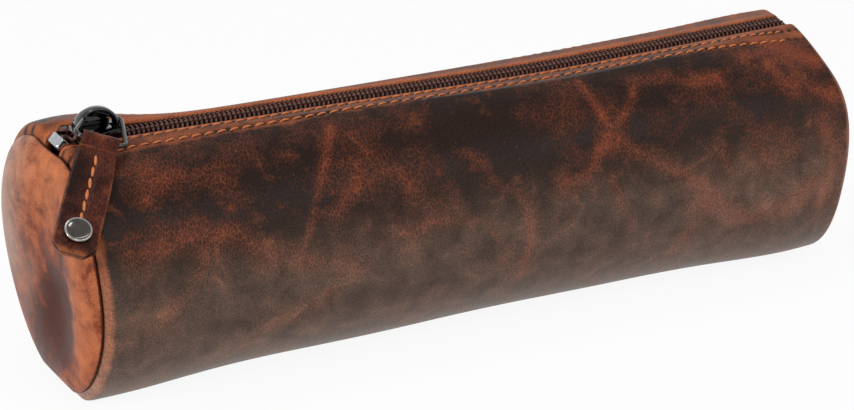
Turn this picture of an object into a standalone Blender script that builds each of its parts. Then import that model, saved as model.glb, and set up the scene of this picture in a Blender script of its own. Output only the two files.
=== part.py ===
"""A soft leather pen pouch: a round sewn tube with a wound-coil zip along its top and a leather pull tab."""

import math

import bmesh
import bpy
import numpy as np
from mathutils import Matrix, Vector

for old in list(bpy.data.objects):
    bpy.data.objects.remove(old, do_unlink=True)

# Leather tube
TUBE_LENGTH = 0.205
TUBE_RADIUS = 0.0304
BASE_FLAT = 0.0009
TOP_FLAT = 0.0004
LEATHER = 0.0016
FIT_GAP = 0.0003
RIM_ROUND = 0.0023
SEAM_ALLOWANCE = 0.0064
MOUTH_HALF = 0.00395
MOUTH_SPREAD = 0.0012
MOUTH_SPREAD_INSET = 0.0075
MOUTH_EVEN_INSET = 0.0185
AXIS_HEIGHT = TUBE_RADIUS - BASE_FLAT
TOP_HEIGHT = AXIS_HEIGHT + TUBE_RADIUS - TOP_FLAT
RIM_X = TUBE_LENGTH / 2
CURL_X = RIM_X - RIM_ROUND
MOUTH_SPREAD_X = -RIM_X + MOUTH_SPREAD_INSET
MOUTH_EVEN_X = -RIM_X + MOUTH_EVEN_INSET

# Round ends
DISC_INSET = 0.0022
LEFT_DOME = 0.0039
RIGHT_DOME = 0.0022

# Zip
TAPE_THICK = 0.0006
TAPE_INNER = 0.0016
TAPE_OUTER = 0.012
TAPE_TAIL_HALF = 0.0034
TAPE_TAPER = 0.0025
TAPE_TAIL_LENGTH = 0.0037
ZIP_RIGHT_INSET = 0.0002
ZIP_BEND_INSET = 0.0063
ZIP_BEND_RADIUS = 0.0024
ZIP_BEND_ANGLE = math.radians(40)
ZIP_TAIL = 0.0033
COIL_PITCH = 0.00155
COIL_WIRE = 0.0003
COIL_BACK = 0.00265
COIL_HEAD = 0.00015
COIL_LIFT = 0.00105
COIL_RISE = 0.0008
COIL_PART = 0.00165
COIL_PART_OFFSETS = (-0.0076, -0.0052, -0.0023, 0.0026)
CLAMP_HALF = 0.0036
CLAMP_WALL = 0.0005
CLAMP_LENGTH = 0.003
CLAMP_TOP = 0.00305
CLAMP_EDGE = 0.00012
TAPE_TOP = TOP_HEIGHT - LEATHER - FIT_GAP
TAPE_BOTTOM = TAPE_TOP - TAPE_THICK
ZIP_RIGHT_X = RIM_X - ZIP_RIGHT_INSET
TAPE_RIGHT_X = ZIP_RIGHT_X - TAPE_TAIL_LENGTH
ZIP_BEND_X = -RIM_X + ZIP_BEND_INSET

# Slider
SLIDER_INSET = 0.0118
PLATE_LENGTH = 0.0116
PLATE_HALF = 0.0047
PLATE_THICK = 0.0012
PLATE_GAP = 0.00015
PLATE_EDGE = 0.0003
LOWER_LENGTH = 0.0104
LOWER_HALF = 0.0042
LOWER_THICK = 0.001
NECK_X = -0.0038
NECK_LENGTH = 0.0022
NECK_HALF = 0.0009
GUIDE_X = 0.0041
GUIDE_LENGTH = 0.003
GUIDE_OUTER = 0.00365
GUIDE_WALL = 0.0005
PLATE_SHARES = ((-1.0, 0.5), (-0.86, 0.84), (-0.5, 1.0), (0.1, 1.0), (0.4, 0.79), (0.88, 0.79), (1.0, 0.62))
SLIDER_X = -RIM_X + SLIDER_INSET
PLATE_BOTTOM = TAPE_TOP + COIL_LIFT + COIL_RISE + 2 * COIL_WIRE + PLATE_GAP
PLATE_TOP = PLATE_BOTTOM + PLATE_THICK

# Bail: the arched strip on the slider
BAIL_HALF_LENGTH = 0.0045
BAIL_HEIGHT = 0.00535
BAIL_THICK = 0.00075
BAIL_WIDTH = 0.0025
BAIL_FOOT = 0.0004
POCKET_DEPTH = 0.0006
POCKET_GAP = 0.00015

# Ring and tab
RING_WIRE = 0.00055
RING_WIDTH = 0.01259
RING_TOP_WIDTH = 0.0066
RING_HEIGHT = 0.0147
RING_BASE_ROUND = 0.002
RING_TOP_ROUND = 0.00209
RING_PIVOT_RISE = 0.00285
BAR_OFFSET = (-0.00084, -0.01108, 0.0002)
BAR_TURN = math.radians(30)
TAB_SLOPE = math.radians(38)
RING_SLOPE = math.radians(13.8)
TAB_LENGTH = 0.0322
TAB_HALF = 0.005
TAB_TOP_HALF = 0.00425
TAB_CHAMFER = 0.0022
TAB_LAYER = 0.0012
TAB_LAYER_GAP = 0.0003
TAB_NARROW_LENGTH = 0.0045
RIVET_INSET = 0.0066
RIVET_RADIUS = 0.0034
RIVET_HEIGHT = 0.0015
RIVET_EDGE = 0.0004
RIVET_BACK_RADIUS = 0.0029
RIVET_BACK_THICK = 0.0006
STEM_RADIUS = 0.0012
STEM_GAP = 0.00015
CUT_OVERRUN = 0.001
RIVET_DISTANCE = TAB_LENGTH - RIVET_INSET


def material(name, colour, roughness, metallic=0.0):
    made = bpy.data.materials.new(name)
    made.use_nodes = True
    shader = made.node_tree.nodes["Principled BSDF"]
    shader.inputs["Base Color"].default_value = (*colour, 1)
    shader.inputs["Roughness"].default_value = roughness
    shader.inputs["Metallic"].default_value = metallic
    made.diffuse_color = (*colour, 1)
    made.roughness = roughness
    made.metallic = metallic
    return made


def solid(name, points, faces, slot, smooth=True):
    """One closed object from its points and faces, with the faces turned outward."""
    mesh = bpy.data.meshes.new(name)
    mesh.from_pydata([tuple(map(float, point)) for point in points], [], faces)
    work = bmesh.new()
    work.from_mesh(mesh)
    bmesh.ops.recalc_face_normals(work, faces=work.faces)
    for face in work.faces:
        face.smooth = smooth
    work.to_mesh(mesh)
    work.free()
    mesh.materials.append(slot)
    obj = bpy.data.objects.new(name, mesh)
    bpy.context.scene.collection.objects.link(obj)
    return obj


def sheet(outer, inner):
    """Points and faces of a sheet with thickness, from its outer and inner grids of points."""
    rows, columns = outer.shape[:2]
    grid = np.arange(rows * columns).reshape(rows, columns)
    under = grid + grid.size
    faces = []
    for layer in (grid, under):
        corners = np.stack([layer[:-1, :-1], layer[1:, :-1], layer[1:, 1:], layer[:-1, 1:]], axis=-1)
        faces += corners.reshape(-1, 4).tolist()
    border = np.concatenate([grid[0, :-1], grid[:-1, -1], grid[-1, :0:-1], grid[:0:-1, 0]])
    onward = np.roll(border, -1)
    faces += np.stack([border, onward, onward + grid.size, border + grid.size], axis=-1).tolist()
    return np.concatenate([outer.reshape(-1, 3), inner.reshape(-1, 3)]), faces


def tube(rings, poles=None, loop=False):
    """Points and faces of a body round which each row of points runs: a loop, a body with two poles, or capped."""
    count, sides = rings.shape[:2]
    grid = np.arange(count * sides).reshape(count, sides)
    onward = np.roll(grid, -1, axis=1)
    ahead, ahead_onward = np.roll(grid, -1, axis=0), np.roll(onward, -1, axis=0)
    last = count if loop else count - 1
    corners = np.stack([grid, onward, ahead_onward, ahead], axis=-1)[:last]
    faces = corners.reshape(-1, 4).tolist()
    points = rings.reshape(-1, 3)
    if poles is not None:
        points = np.concatenate([points, np.array(poles)])
        for row, pole in ((0, grid.size), (-1, grid.size + 1)):
            faces += [[a, b, pole] for a, b in zip(grid[row].tolist(), onward[row].tolist())]
    elif not loop:
        faces += [grid[0].tolist(), grid[-1].tolist()]
    return points, faces


def ease(value, start, end):
    """A smooth step from 0 at start to 1 at end."""
    share = np.clip((value - start) / (end - start), 0, 1)
    return share * share * (3 - 2 * share)


def mouth_half(x):
    return MOUTH_HALF + MOUTH_SPREAD * ease(x, MOUTH_EVEN_X, MOUTH_SPREAD_X)


def tube_height(y, depth):
    """Height of the leather's upper half at this depth below its outer face."""
    circle = AXIS_HEIGHT + np.sqrt((TUBE_RADIUS - depth) ** 2 - y**2)
    return np.minimum(circle, TOP_HEIGHT - depth)


def section(angle, depth):
    """Across the tube: y and z at this angle from the top, flattened where it lies and along the zip."""
    radius = TUBE_RADIUS - depth
    height = AXIS_HEIGHT + radius * np.cos(angle)
    return radius * np.sin(angle), np.clip(height, depth, TOP_HEIGHT - depth)


# Body panel
PANEL_COLUMNS = 31
CURL_STEPS = 5


def panel_profile(round_radius, face_x, depth):
    """Along the tube: x and depth from one seam allowance over the rolled rim to the other."""
    turn = np.linspace(math.pi, math.pi / 2, CURL_STEPS)
    curl_x = -CURL_X + round_radius * np.cos(turn)
    curl_depth = RIM_ROUND - round_radius * np.sin(turn)
    left_x = np.concatenate([[-face_x], curl_x])
    left_depth = np.concatenate([[SEAM_ALLOWANCE], curl_depth])
    near_mouth = np.linspace(-CURL_X, MOUTH_EVEN_X, 7)[1:]
    along = np.linspace(MOUTH_EVEN_X, CURL_X, 7)[1:-1]
    middle = np.concatenate([near_mouth, along])
    x = np.concatenate([left_x, middle, -left_x[::-1]])
    depths = np.concatenate([left_depth, np.full(len(middle), depth), left_depth[::-1]])
    return x, depths


def panel_grid(round_radius, face_x, depth):
    x, depths = panel_profile(round_radius, face_x, depth)
    start = np.arcsin(mouth_half(x) / (TUBE_RADIUS - depths))[:, None]
    angle = start + np.linspace(0, 1, PANEL_COLUMNS)[None, :] * (2 * math.pi - 2 * start)
    y, z = section(angle, depths[:, None])
    return np.stack([np.broadcast_to(x[:, None], y.shape), y, z], axis=-1)


panel_outer = panel_grid(RIM_ROUND, RIM_X, 0)
panel_inner = panel_grid(RIM_ROUND - LEATHER, RIM_X - LEATHER, LEATHER)
tan_leather = material("tan_leather", (0.47, 0.17, 0.05), 0.5)
body_panel = solid("body_panel", *sheet(panel_outer, panel_inner), tan_leather)

# End panels
DISC_SIDES = 40
DISC_STEPS = 8


def disc_rings(radius, height, side, turn):
    """Rows of a puffed disc whose profile is a superellipse of this radius and height."""
    share = radius * np.sqrt(np.sin(turn))[:, None] / TUBE_RADIUS
    angle = np.linspace(0, 2 * math.pi, DISC_SIDES, endpoint=False)[None, :]
    y, z = section(angle, 0)
    x = side * (RIM_X + FIT_GAP + height * np.cos(turn))[:, None]
    return np.stack([x + 0 * y, y * share, AXIS_HEIGHT + (z - AXIS_HEIGHT) * share], axis=-1)


def end_panel(name, dome, side, slot):
    turn = np.linspace(0, math.pi / 2, DISC_STEPS + 1)[1:]
    outer_radius = TUBE_RADIUS - DISC_INSET
    outer_height = dome - FIT_GAP
    outer = disc_rings(outer_radius, outer_height, side, turn)
    inner = disc_rings(outer_radius - LEATHER, outer_height - LEATHER, side, turn[::-1])
    outer_pole = (side * (RIM_X + dome), 0, AXIS_HEIGHT)
    inner_pole = (side * (RIM_X + dome - LEATHER), 0, AXIS_HEIGHT)
    return solid(name, *tube(np.concatenate([outer, inner]), poles=(outer_pole, inner_pole)), slot)


end_leather = material("end_leather", (0.45, 0.17, 0.06), 0.5)
end_panel("end_panel_left", LEFT_DOME, -1, end_leather)
end_panel("end_panel_right", RIGHT_DOME, 1, end_leather)

# Zip tapes and the coils wound along them


def zip_place(x, y, rise):
    """A point of the zip, which bends down over the rim at its slider end: rise is above the tapes' upper face."""
    past = np.maximum(ZIP_BEND_X - x, 0)
    angle = np.minimum(past / ZIP_BEND_RADIUS, ZIP_BEND_ANGLE)
    tail = past - angle * ZIP_BEND_RADIUS
    reach = ZIP_BEND_RADIUS + rise
    along = np.maximum(x, ZIP_BEND_X) - reach * np.sin(angle) - tail * np.cos(angle)
    height = TAPE_TOP - ZIP_BEND_RADIUS + reach * np.cos(angle) - tail * np.sin(angle)
    return np.stack(np.broadcast_arrays(along, y, height), axis=-1)


ZIP_TAIL_X = ZIP_BEND_X - ZIP_BEND_RADIUS * ZIP_BEND_ANGLE
ZIP_LEFT_X = ZIP_TAIL_X - ZIP_TAIL
TAPE_COLUMNS = 6


def tape_grid(side, depth):
    bend = np.linspace(ZIP_LEFT_X, ZIP_BEND_X, 8)
    wide = ZIP_BEND_X + TAPE_TAPER
    middle = np.linspace(wide, TAPE_RIGHT_X - TAPE_TAPER, 12)
    x = np.concatenate([bend, middle, [TAPE_RIGHT_X, ZIP_RIGHT_X]])[:, None]
    narrow = np.maximum(ease(x, wide, ZIP_BEND_X), ease(x, TAPE_RIGHT_X - TAPE_TAPER, TAPE_RIGHT_X))
    outer = TAPE_OUTER + (TAPE_TAIL_HALF - TAPE_OUTER) * narrow
    y = TAPE_INNER + (outer - TAPE_INNER) * np.linspace(0, 1, TAPE_COLUMNS)[None, :]
    return zip_place(x, side * y, tube_height(y, depth) - TAPE_TOP)


def zip_tape(name, side, slot):
    upper = tape_grid(side, LEATHER + FIT_GAP)
    lower = tape_grid(side, LEATHER + FIT_GAP + TAPE_THICK)
    return solid(name, *sheet(upper, lower), slot)


tape_fabric = material("tape_fabric", (0.16, 0.06, 0.03), 0.9)
zip_tape("zip_tape_near", -1, tape_fabric)
zip_tape("zip_tape_far", 1, tape_fabric)

TURN_ACROSS_SHARES = np.array([-1.0, -0.25, 1.0, 1.0, -0.25])
TURN_RISE_SHARES = np.array([0.0, 1.0, 0.62, -0.62, -1.0])
TURN_ADVANCE_SHARES = np.array([0.0, 0.2, 0.4, 0.6, 0.8])
WIRE_SIDES = 3


def zip_coil(name, side, start, slot):
    """One unbroken wire wound in flattened turns, parted where the slider's neck stands."""
    turns = int((ZIP_RIGHT_X - ZIP_LEFT_X - COIL_PITCH) / COIL_PITCH)
    x = ZIP_LEFT_X + start + COIL_PITCH * (np.arange(turns)[:, None] + TURN_ADVANCE_SHARES[None, :]).reshape(-1)
    centre = (COIL_BACK - COIL_HEAD) / 2
    reach = (COIL_BACK + COIL_HEAD) / 2
    across = centre - reach * np.tile(TURN_ACROSS_SHARES, turns)
    rise = COIL_LIFT + COIL_WIRE + COIL_RISE * np.tile(TURN_RISE_SHARES, turns)
    path = np.stack([x, across, rise], axis=-1)
    ahead = np.gradient(path, axis=0)
    ahead /= np.linalg.norm(ahead, axis=1, keepdims=True)
    away = path - np.array([0, centre, COIL_LIFT + COIL_WIRE])
    away[:, 0] = 0
    away -= np.sum(away * ahead, axis=1, keepdims=True) * ahead
    away /= np.linalg.norm(away, axis=1, keepdims=True)
    beside = np.cross(ahead, away)
    turn = np.linspace(0, 2 * math.pi, WIRE_SIDES, endpoint=False)[None, :, None]
    ring = path[:, None] + COIL_WIRE * (np.cos(turn) * away[:, None] + np.sin(turn) * beside[:, None])
    first, second, third, fourth = (SLIDER_X + offset for offset in COIL_PART_OFFSETS)
    parted = COIL_PART * ease(ring[..., 0], first, second) * ease(ring[..., 0], fourth, third)
    rings = zip_place(ring[..., 0], side * (ring[..., 1] + parted), ring[..., 2])
    return solid(name, *tube(rings), slot)


coil_plastic = material("coil_plastic", (0.2, 0.055, 0.025), 0.4)
zip_coil("zip_coil_near", -1, 0, coil_plastic)
zip_coil("zip_coil_far", 1, COIL_PITCH / 2, coil_plastic)


def clamp_grid(half, top):
    y = np.array([-half, -half, half, half])[None, :]
    rise = np.array([FIT_GAP, top, top, FIT_GAP])[None, :]
    middle = ZIP_TAIL_X - ZIP_TAIL / 2
    x = middle + np.array([[-CLAMP_LENGTH / 2], [CLAMP_LENGTH / 2]])
    return zip_place(x, y, rise)


clamp_metal = material("clamp_metal", (0.42, 0.46, 0.52), 0.3, 1.0)
clamp_inner = clamp_grid(CLAMP_HALF - CLAMP_WALL, CLAMP_TOP - CLAMP_WALL)
clamp = solid("zip_end_clamp", *sheet(clamp_grid(CLAMP_HALF, CLAMP_TOP), clamp_inner), clamp_metal, False)
rounding = clamp.modifiers.new("rounding", "BEVEL")
rounding.width = CLAMP_EDGE
rounding.segments = 2

# Slider, built from two plates, a neck between them and two guides
PLATE_EDGE_STEPS = 4


def plate(name, length, half, inner_z, outer_z, slot):
    """A plate of the slider's outline, wide at the neck end, with a round edge on the face away from the zip."""
    turn = np.linspace(0, math.pi / 2, PLATE_EDGE_STEPS)
    away = math.copysign(PLATE_EDGE, outer_z - inner_z)
    heights = np.concatenate([[inner_z], outer_z - away * (1 - np.sin(turn))])
    insets = np.concatenate([[0], PLATE_EDGE * (1 - np.cos(turn))])
    shares = [*PLATE_SHARES, *((share, -side_share) for share, side_share in reversed(PLATE_SHARES))]
    rings = [
        [(SLIDER_X + share * (length / 2 - inset), side_share * (half - inset), z) for share, side_share in shares]
        for inset, z in zip(insets, heights)
    ]
    return solid(name, *tube(np.array(rings)), slot, False)


def block(name, low, high, slot=None):
    """A box between two corners."""
    rings = []
    for z in (low[2], high[2]):
        rings.append([(low[0], low[1], z), (high[0], low[1], z), (high[0], high[1], z), (low[0], high[1], z)])
    return solid(name, *tube(np.array(rings, dtype=float)), slot, False)


def combine(target, other, operation):
    """Applies a Boolean to the target and hides the shape that made it."""
    step = target.modifiers.new(other.name, "BOOLEAN")
    step.operation = operation
    step.solver = "EXACT"
    step.object = other
    other.hide_render = True
    other.display_type = "WIRE"


slider_metal = material("slider_metal", (0.36, 0.4, 0.46), 0.28, 1.0)
LOWER_TOP = TAPE_BOTTOM - FIT_GAP
slider_body = plate("slider_body", PLATE_LENGTH, PLATE_HALF, PLATE_BOTTOM, PLATE_TOP, slider_metal)
lower_plate = plate("lower_plate", LOWER_LENGTH, LOWER_HALF, LOWER_TOP, LOWER_TOP - LOWER_THICK, slider_metal)
combine(slider_body, lower_plate, "UNION")
neck_middle = SLIDER_X + NECK_X
neck_low = (neck_middle - NECK_LENGTH / 2, -NECK_HALF, LOWER_TOP - LOWER_THICK / 2)
neck_high = (neck_middle + NECK_LENGTH / 2, NECK_HALF, PLATE_BOTTOM + PLATE_THICK / 2)
combine(slider_body, block("neck", neck_low, neck_high, slider_metal), "UNION")
for side, name in ((-1, "guide_near"), (1, "guide_far")):
    across = sorted((side * GUIDE_OUTER, side * (GUIDE_OUTER - GUIDE_WALL)))
    guide_middle = SLIDER_X + GUIDE_X
    guide_low = (guide_middle - GUIDE_LENGTH / 2, across[0], TAPE_TOP + FIT_GAP)
    guide_high = (guide_middle + GUIDE_LENGTH / 2, across[1], PLATE_BOTTOM + PLATE_THICK / 2)
    combine(slider_body, block(name, guide_low, guide_high, slider_metal), "UNION")
for side, name in ((-1, "pocket_left"), (1, "pocket_right")):
    ends = sorted((
        SLIDER_X + side * (BAIL_HALF_LENGTH + POCKET_GAP),
        SLIDER_X + side * (BAIL_HALF_LENGTH - BAIL_THICK - POCKET_GAP),
    ))
    pocket_half = BAIL_WIDTH / 2 + POCKET_GAP
    pocket_low = (ends[0], -pocket_half, PLATE_TOP - POCKET_DEPTH)
    pocket_high = (ends[1], pocket_half, PLATE_TOP + CUT_OVERRUN)
    combine(slider_body, block(name, pocket_low, pocket_high), "DIFFERENCE")

# Bail

BAIL_STEPS = 17


def bail_grid(half_length, height):
    turn = np.linspace(0, math.pi, BAIL_STEPS)
    x = SLIDER_X - half_length * np.cos(turn)
    z = PLATE_TOP + height * np.sin(turn)
    x = np.concatenate([[x[0]], x, [x[-1]]])
    z = np.concatenate([[PLATE_TOP - BAIL_FOOT], z, [PLATE_TOP - BAIL_FOOT]])
    y = np.array([-BAIL_WIDTH / 2, BAIL_WIDTH / 2])[None, :]
    return np.stack(np.broadcast_arrays(x[:, None], y, z[:, None]), axis=-1)


bail_metal = material("bail_metal", (0.4, 0.44, 0.5), 0.25, 1.0)
bail_outer = bail_grid(BAIL_HALF_LENGTH, BAIL_HEIGHT)
bail_inner = bail_grid(BAIL_HALF_LENGTH - BAIL_THICK, BAIL_HEIGHT - BAIL_THICK)
slider_bail = solid("slider_bail", *sheet(bail_outer, bail_inner), bail_metal, False)

# Frame of the ring's bar and of the tab, which hangs down the near side
ACROSS = Vector((
    math.cos(BAR_TURN),
    -math.sin(BAR_TURN) * math.cos(TAB_SLOPE),
    -math.sin(BAR_TURN) * math.sin(TAB_SLOPE),
))
DOWN = Vector((
    -math.sin(BAR_TURN),
    -math.cos(BAR_TURN) * math.cos(TAB_SLOPE),
    -math.cos(BAR_TURN) * math.sin(TAB_SLOPE),
))
FACE = DOWN.cross(ACROSS)
rising = Vector((0, math.cos(RING_SLOPE), math.sin(RING_SLOPE)))
UP_RING = (rising - rising.dot(ACROSS) * ACROSS).normalized()
BAR_MIDDLE = Vector((SLIDER_X, 0, PLATE_TOP)) + Vector(BAR_OFFSET)
RING_PIVOT = Vector((SLIDER_X, 0, PLATE_TOP + RING_PIVOT_RISE))

# Pull ring
CORNER_STEPS = 6
RING_SIDES = 8


def ring_path():
    """Middle of the ring's wire in its own plane: a trapezoid with rounded corners, its bar along the first axis."""
    corners = (
        (RING_WIDTH / 2, 0, RING_BASE_ROUND),
        (RING_TOP_WIDTH / 2, RING_HEIGHT, RING_TOP_ROUND),
        (-RING_TOP_WIDTH / 2, RING_HEIGHT, RING_TOP_ROUND),
        (-RING_WIDTH / 2, 0, RING_BASE_ROUND),
    )
    path = []
    for index, (x, y, radius) in enumerate(corners):
        corner = np.array([x, y])
        to_last = np.array(corners[index - 1][:2]) - corner
        to_next = np.array(corners[(index + 1) % 4][:2]) - corner
        to_last /= np.hypot(*to_last)
        to_next /= np.hypot(*to_next)
        half = math.acos(to_last @ to_next) / 2
        middle = corner + (to_last + to_next) / np.hypot(*(to_last + to_next)) * radius / math.sin(half)
        from_middle = corner + to_last * radius / math.tan(half) - middle
        start = math.atan2(from_middle[1], from_middle[0])
        turn = np.linspace(start, start + math.pi - 2 * half, CORNER_STEPS)
        path.append(middle + radius * np.stack([np.cos(turn), np.sin(turn)], axis=-1))
    return np.concatenate(path)


loop = ring_path()
ahead = np.roll(loop, -1, axis=0) - np.roll(loop, 1, axis=0)
ahead /= np.linalg.norm(ahead, axis=1, keepdims=True)
outward = np.stack([ahead[:, 1], -ahead[:, 0]], axis=-1)
turn = np.linspace(0, 2 * math.pi, RING_SIDES, endpoint=False)[None, :]
flat = loop[:, None] + RING_WIRE * np.cos(turn)[..., None] * outward[:, None]
lift = np.broadcast_to(RING_WIRE * np.sin(turn), flat.shape[:2])
across_vector, up_vector = np.array(ACROSS), np.array(UP_RING)
normal = np.cross(across_vector, up_vector)
wire = np.array(BAR_MIDDLE - RING_PIVOT) + flat[..., :1] * across_vector + flat[..., 1:] * up_vector
wire = wire + lift[..., None] * normal
ring_metal = material("ring_metal", (0.5, 0.52, 0.56), 0.2, 1.0)
pull_ring = solid("pull_ring", *tube(wire, loop=True), ring_metal)
pull_ring.location = RING_PIVOT

# Pull tab: one strap folded round the ring's bar, its two layers riveted together
FOLD_STEPS = 9


def strap_line(offset):
    """Down the tab and out from its face, from one free end round the fold to the other."""
    layer = (TAB_LAYER_GAP + TAB_LAYER) / 2 + offset
    fold = RING_WIRE + FIT_GAP + TAB_LAYER / 2 + offset
    turn = np.linspace(math.pi / 2, 3 * math.pi / 2, FOLD_STEPS)
    down = np.array([TAB_LENGTH, TAB_LENGTH - TAB_CHAMFER, RIVET_DISTANCE, TAB_LENGTH / 2, TAB_NARROW_LENGTH])
    level = np.full(len(down), layer)
    down = np.concatenate([down, fold * np.cos(turn), down[::-1]])
    out = np.concatenate([level, fold * np.sin(turn), -level])
    return down, out


def strap_grid(offset):
    down, out = strap_line(offset)
    line_down = np.clip(down, 0, TAB_LENGTH)
    half = TAB_TOP_HALF + (TAB_HALF - TAB_TOP_HALF) * ease(line_down, 0, TAB_LENGTH / 2)
    half = half - TAB_CHAMFER * np.clip((line_down - TAB_LENGTH + TAB_CHAMFER) / TAB_CHAMFER, 0, 1)
    across = half[:, None] * np.linspace(-1, 1, 3)[None, :]
    return np.stack(np.broadcast_arrays(across, down[:, None], out[:, None]), axis=-1)


tab_leather = material("tab_leather", (0.25, 0.06, 0.03), 0.45)
tab_frame = Matrix.Translation(BAR_MIDDLE) @ Matrix((ACROSS, DOWN, FACE)).transposed().to_4x4()
pull_tab = solid("pull_tab", *sheet(strap_grid(TAB_LAYER / 2), strap_grid(-TAB_LAYER / 2)), tab_leather, False)
pull_tab.matrix_world = tab_frame

ROUND_SIDES = 20


def lathe(name, profile, slot):
    """A turned piece from a profile of radius and height, whose first and last points lie on its axis."""
    turn = np.linspace(0, 2 * math.pi, ROUND_SIDES, endpoint=False)
    rings = [
        [(radius * math.cos(angle), radius * math.sin(angle), height) for angle in turn]
        for radius, height in profile[1:-1]
    ]
    poles = [(0, 0, profile[0][1]), (0, 0, profile[-1][1])]
    made = solid(name, *tube(np.array(rings), poles=poles), slot)
    made.matrix_world = tab_frame @ Matrix.Translation((0, RIVET_DISTANCE, 0))
    return made


TAB_HALF_THICK = TAB_LAYER_GAP / 2 + TAB_LAYER
hole_radius = STEM_RADIUS + FIT_GAP
hole_reach = TAB_HALF_THICK + CUT_OVERRUN
hole_profile = [(0, -hole_reach), (hole_radius, -hole_reach), (hole_radius, hole_reach), (0, hole_reach)]
combine(pull_tab, lathe("rivet_hole", hole_profile, tab_leather), "DIFFERENCE")

rivet_metal = material("rivet_metal", (0.46, 0.44, 0.42), 0.3, 1.0)
cap_low = TAB_HALF_THICK + STEM_GAP
dome_turns = np.linspace(0, math.pi / 2, 6)
dome = [
    (RIVET_RADIUS * math.cos(angle), cap_low + RIVET_EDGE + (RIVET_HEIGHT - RIVET_EDGE) * math.sin(angle))
    for angle in dome_turns[:-1]
]
cap_profile = [(0, cap_low), (RIVET_RADIUS, cap_low), *dome, (0, cap_low + RIVET_HEIGHT)]
rivet_cap = lathe("rivet_cap", cap_profile, rivet_metal)
back_high = -TAB_HALF_THICK - STEM_GAP
back_low = back_high - RIVET_BACK_THICK
post_profile = [
    (0, back_low),
    (RIVET_BACK_RADIUS, back_low),
    (RIVET_BACK_RADIUS, back_high),
    (STEM_RADIUS, back_high),
    (STEM_RADIUS, TAB_HALF_THICK),
    (0, TAB_HALF_THICK),
]
rivet_post = lathe("rivet_post", post_profile, rivet_metal)

# The rivets ride on the tab, the tab on the ring, and the ring and the bail on the slider
bpy.context.view_layer.update()
riders = ((slider_bail, slider_body), (pull_ring, slider_body), (pull_tab, pull_ring))
for rider, carrier in (*riders, (rivet_cap, pull_tab), (rivet_post, pull_tab)):
    rider.parent = carrier
    rider.matrix_parent_inverse = carrier.matrix_world.inverted()
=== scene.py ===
# %% [markdown]
# # A leather pen pouch
# This lesson dresses a plain CAD model of a pen pouch: a soft tube of waxed leather with a
# coil zip along its top, a small dark slider, a wire ring and a riveted leather tab.
# The CAD model is the frame: every new piece is a surface worked out with numpy in the same
# metres, so it lands where the solid lies. We start by loading that frame and its box.

import math

import bmesh
import bpy
import numpy as np
from mathutils import Matrix, Vector


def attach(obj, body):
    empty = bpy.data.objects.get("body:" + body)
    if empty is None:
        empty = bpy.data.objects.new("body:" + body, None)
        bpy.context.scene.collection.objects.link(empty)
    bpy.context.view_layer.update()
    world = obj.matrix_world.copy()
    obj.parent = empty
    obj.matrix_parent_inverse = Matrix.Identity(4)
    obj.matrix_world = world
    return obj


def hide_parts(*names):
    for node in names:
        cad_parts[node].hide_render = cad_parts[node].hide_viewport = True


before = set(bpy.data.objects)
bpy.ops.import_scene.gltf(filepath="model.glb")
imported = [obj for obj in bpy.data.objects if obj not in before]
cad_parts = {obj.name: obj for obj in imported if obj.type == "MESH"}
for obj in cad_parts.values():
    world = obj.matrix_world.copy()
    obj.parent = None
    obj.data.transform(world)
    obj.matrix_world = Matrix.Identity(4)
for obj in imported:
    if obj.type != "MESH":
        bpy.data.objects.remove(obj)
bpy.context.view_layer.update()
print("CAD nodes:", len(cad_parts))

# %% [markdown]
# ## The camera
# A long lens keeps the tube's two ends nearly the same size, as a product photograph does.
# The camera is placed by its distance and two angles, and a small shift frames the pouch.

# %% Camera
AXIS_HEIGHT = 0.0295
CAMERA_DISTANCE = 0.65
CAMERA_TURN = math.radians(28)
CAMERA_RISE = math.radians(21)
CAMERA_ROLL = math.radians(-0.16)
FOCAL_PIXELS = 2634.5
IMAGE_WIDTH = 854
SHIFT_PIXELS = (20.56, -14.6)


def camera_axes(turn, rise, roll):
    """Right, up and back of a camera turned about Z, raised, and rolled about its own line of sight."""
    level = math.cos(rise)
    back = np.array([-math.sin(turn) * level, -math.cos(turn) * level, math.sin(rise)])
    right = np.array([math.cos(turn), -math.sin(turn), 0.0])
    up = np.cross(back, right)
    cosine, sine = math.cos(roll), math.sin(roll)
    return right * cosine + up * sine, up * cosine - right * sine, back


right, up, back = camera_axes(CAMERA_TURN, CAMERA_RISE, CAMERA_ROLL)
camera_data = bpy.data.cameras.new("camera")
camera_data.sensor_width = 36
camera_data.lens = FOCAL_PIXELS * camera_data.sensor_width / IMAGE_WIDTH
camera_data.shift_x = -SHIFT_PIXELS[0] / IMAGE_WIDTH
camera_data.shift_y = SHIFT_PIXELS[1] / IMAGE_WIDTH
camera_data.clip_start = 0.01
camera = bpy.data.objects.new("camera", camera_data)
bpy.context.scene.collection.objects.link(camera)
axes = Matrix([right, up, back]).transposed().to_4x4()
place = back * CAMERA_DISTANCE + (0, 0, AXIS_HEIGHT)
camera.matrix_world = Matrix.Translation(Vector(place)) @ axes
bpy.context.scene.camera = camera
print("lens", round(camera_data.lens, 1), "mm")

# %% [markdown]
# ## A short way to write shader nodes
# A material is a small graph, and wiring it by hand takes five lines a node. The first helper
# makes that one line: a node gets its settings and its inputs at once, and an input may be a
# plain value or another node's output. The others name the few nodes that come up again and
# again: arithmetic, a change of range, a mix of two colours and a colour ramp.

# %% Node helper
def node(tree, kind, inputs=None, **settings):
    """Adds a shader node, sets its properties, and fills or links its inputs by name or number."""
    made = tree.nodes.new("ShaderNode" + kind)
    for name, value in settings.items():
        setattr(made, name, value)
    for name, value in (inputs or {}).items():
        if isinstance(value, bpy.types.NodeSocket):
            tree.links.new(value, made.inputs[name])
        else:
            made.inputs[name].default_value = value
    return made


def maths(tree, operation, *values):
    """One Math node on two or three values, giving its output."""
    return node(tree, "Math", dict(enumerate(values)), operation=operation).outputs[0]


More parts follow.
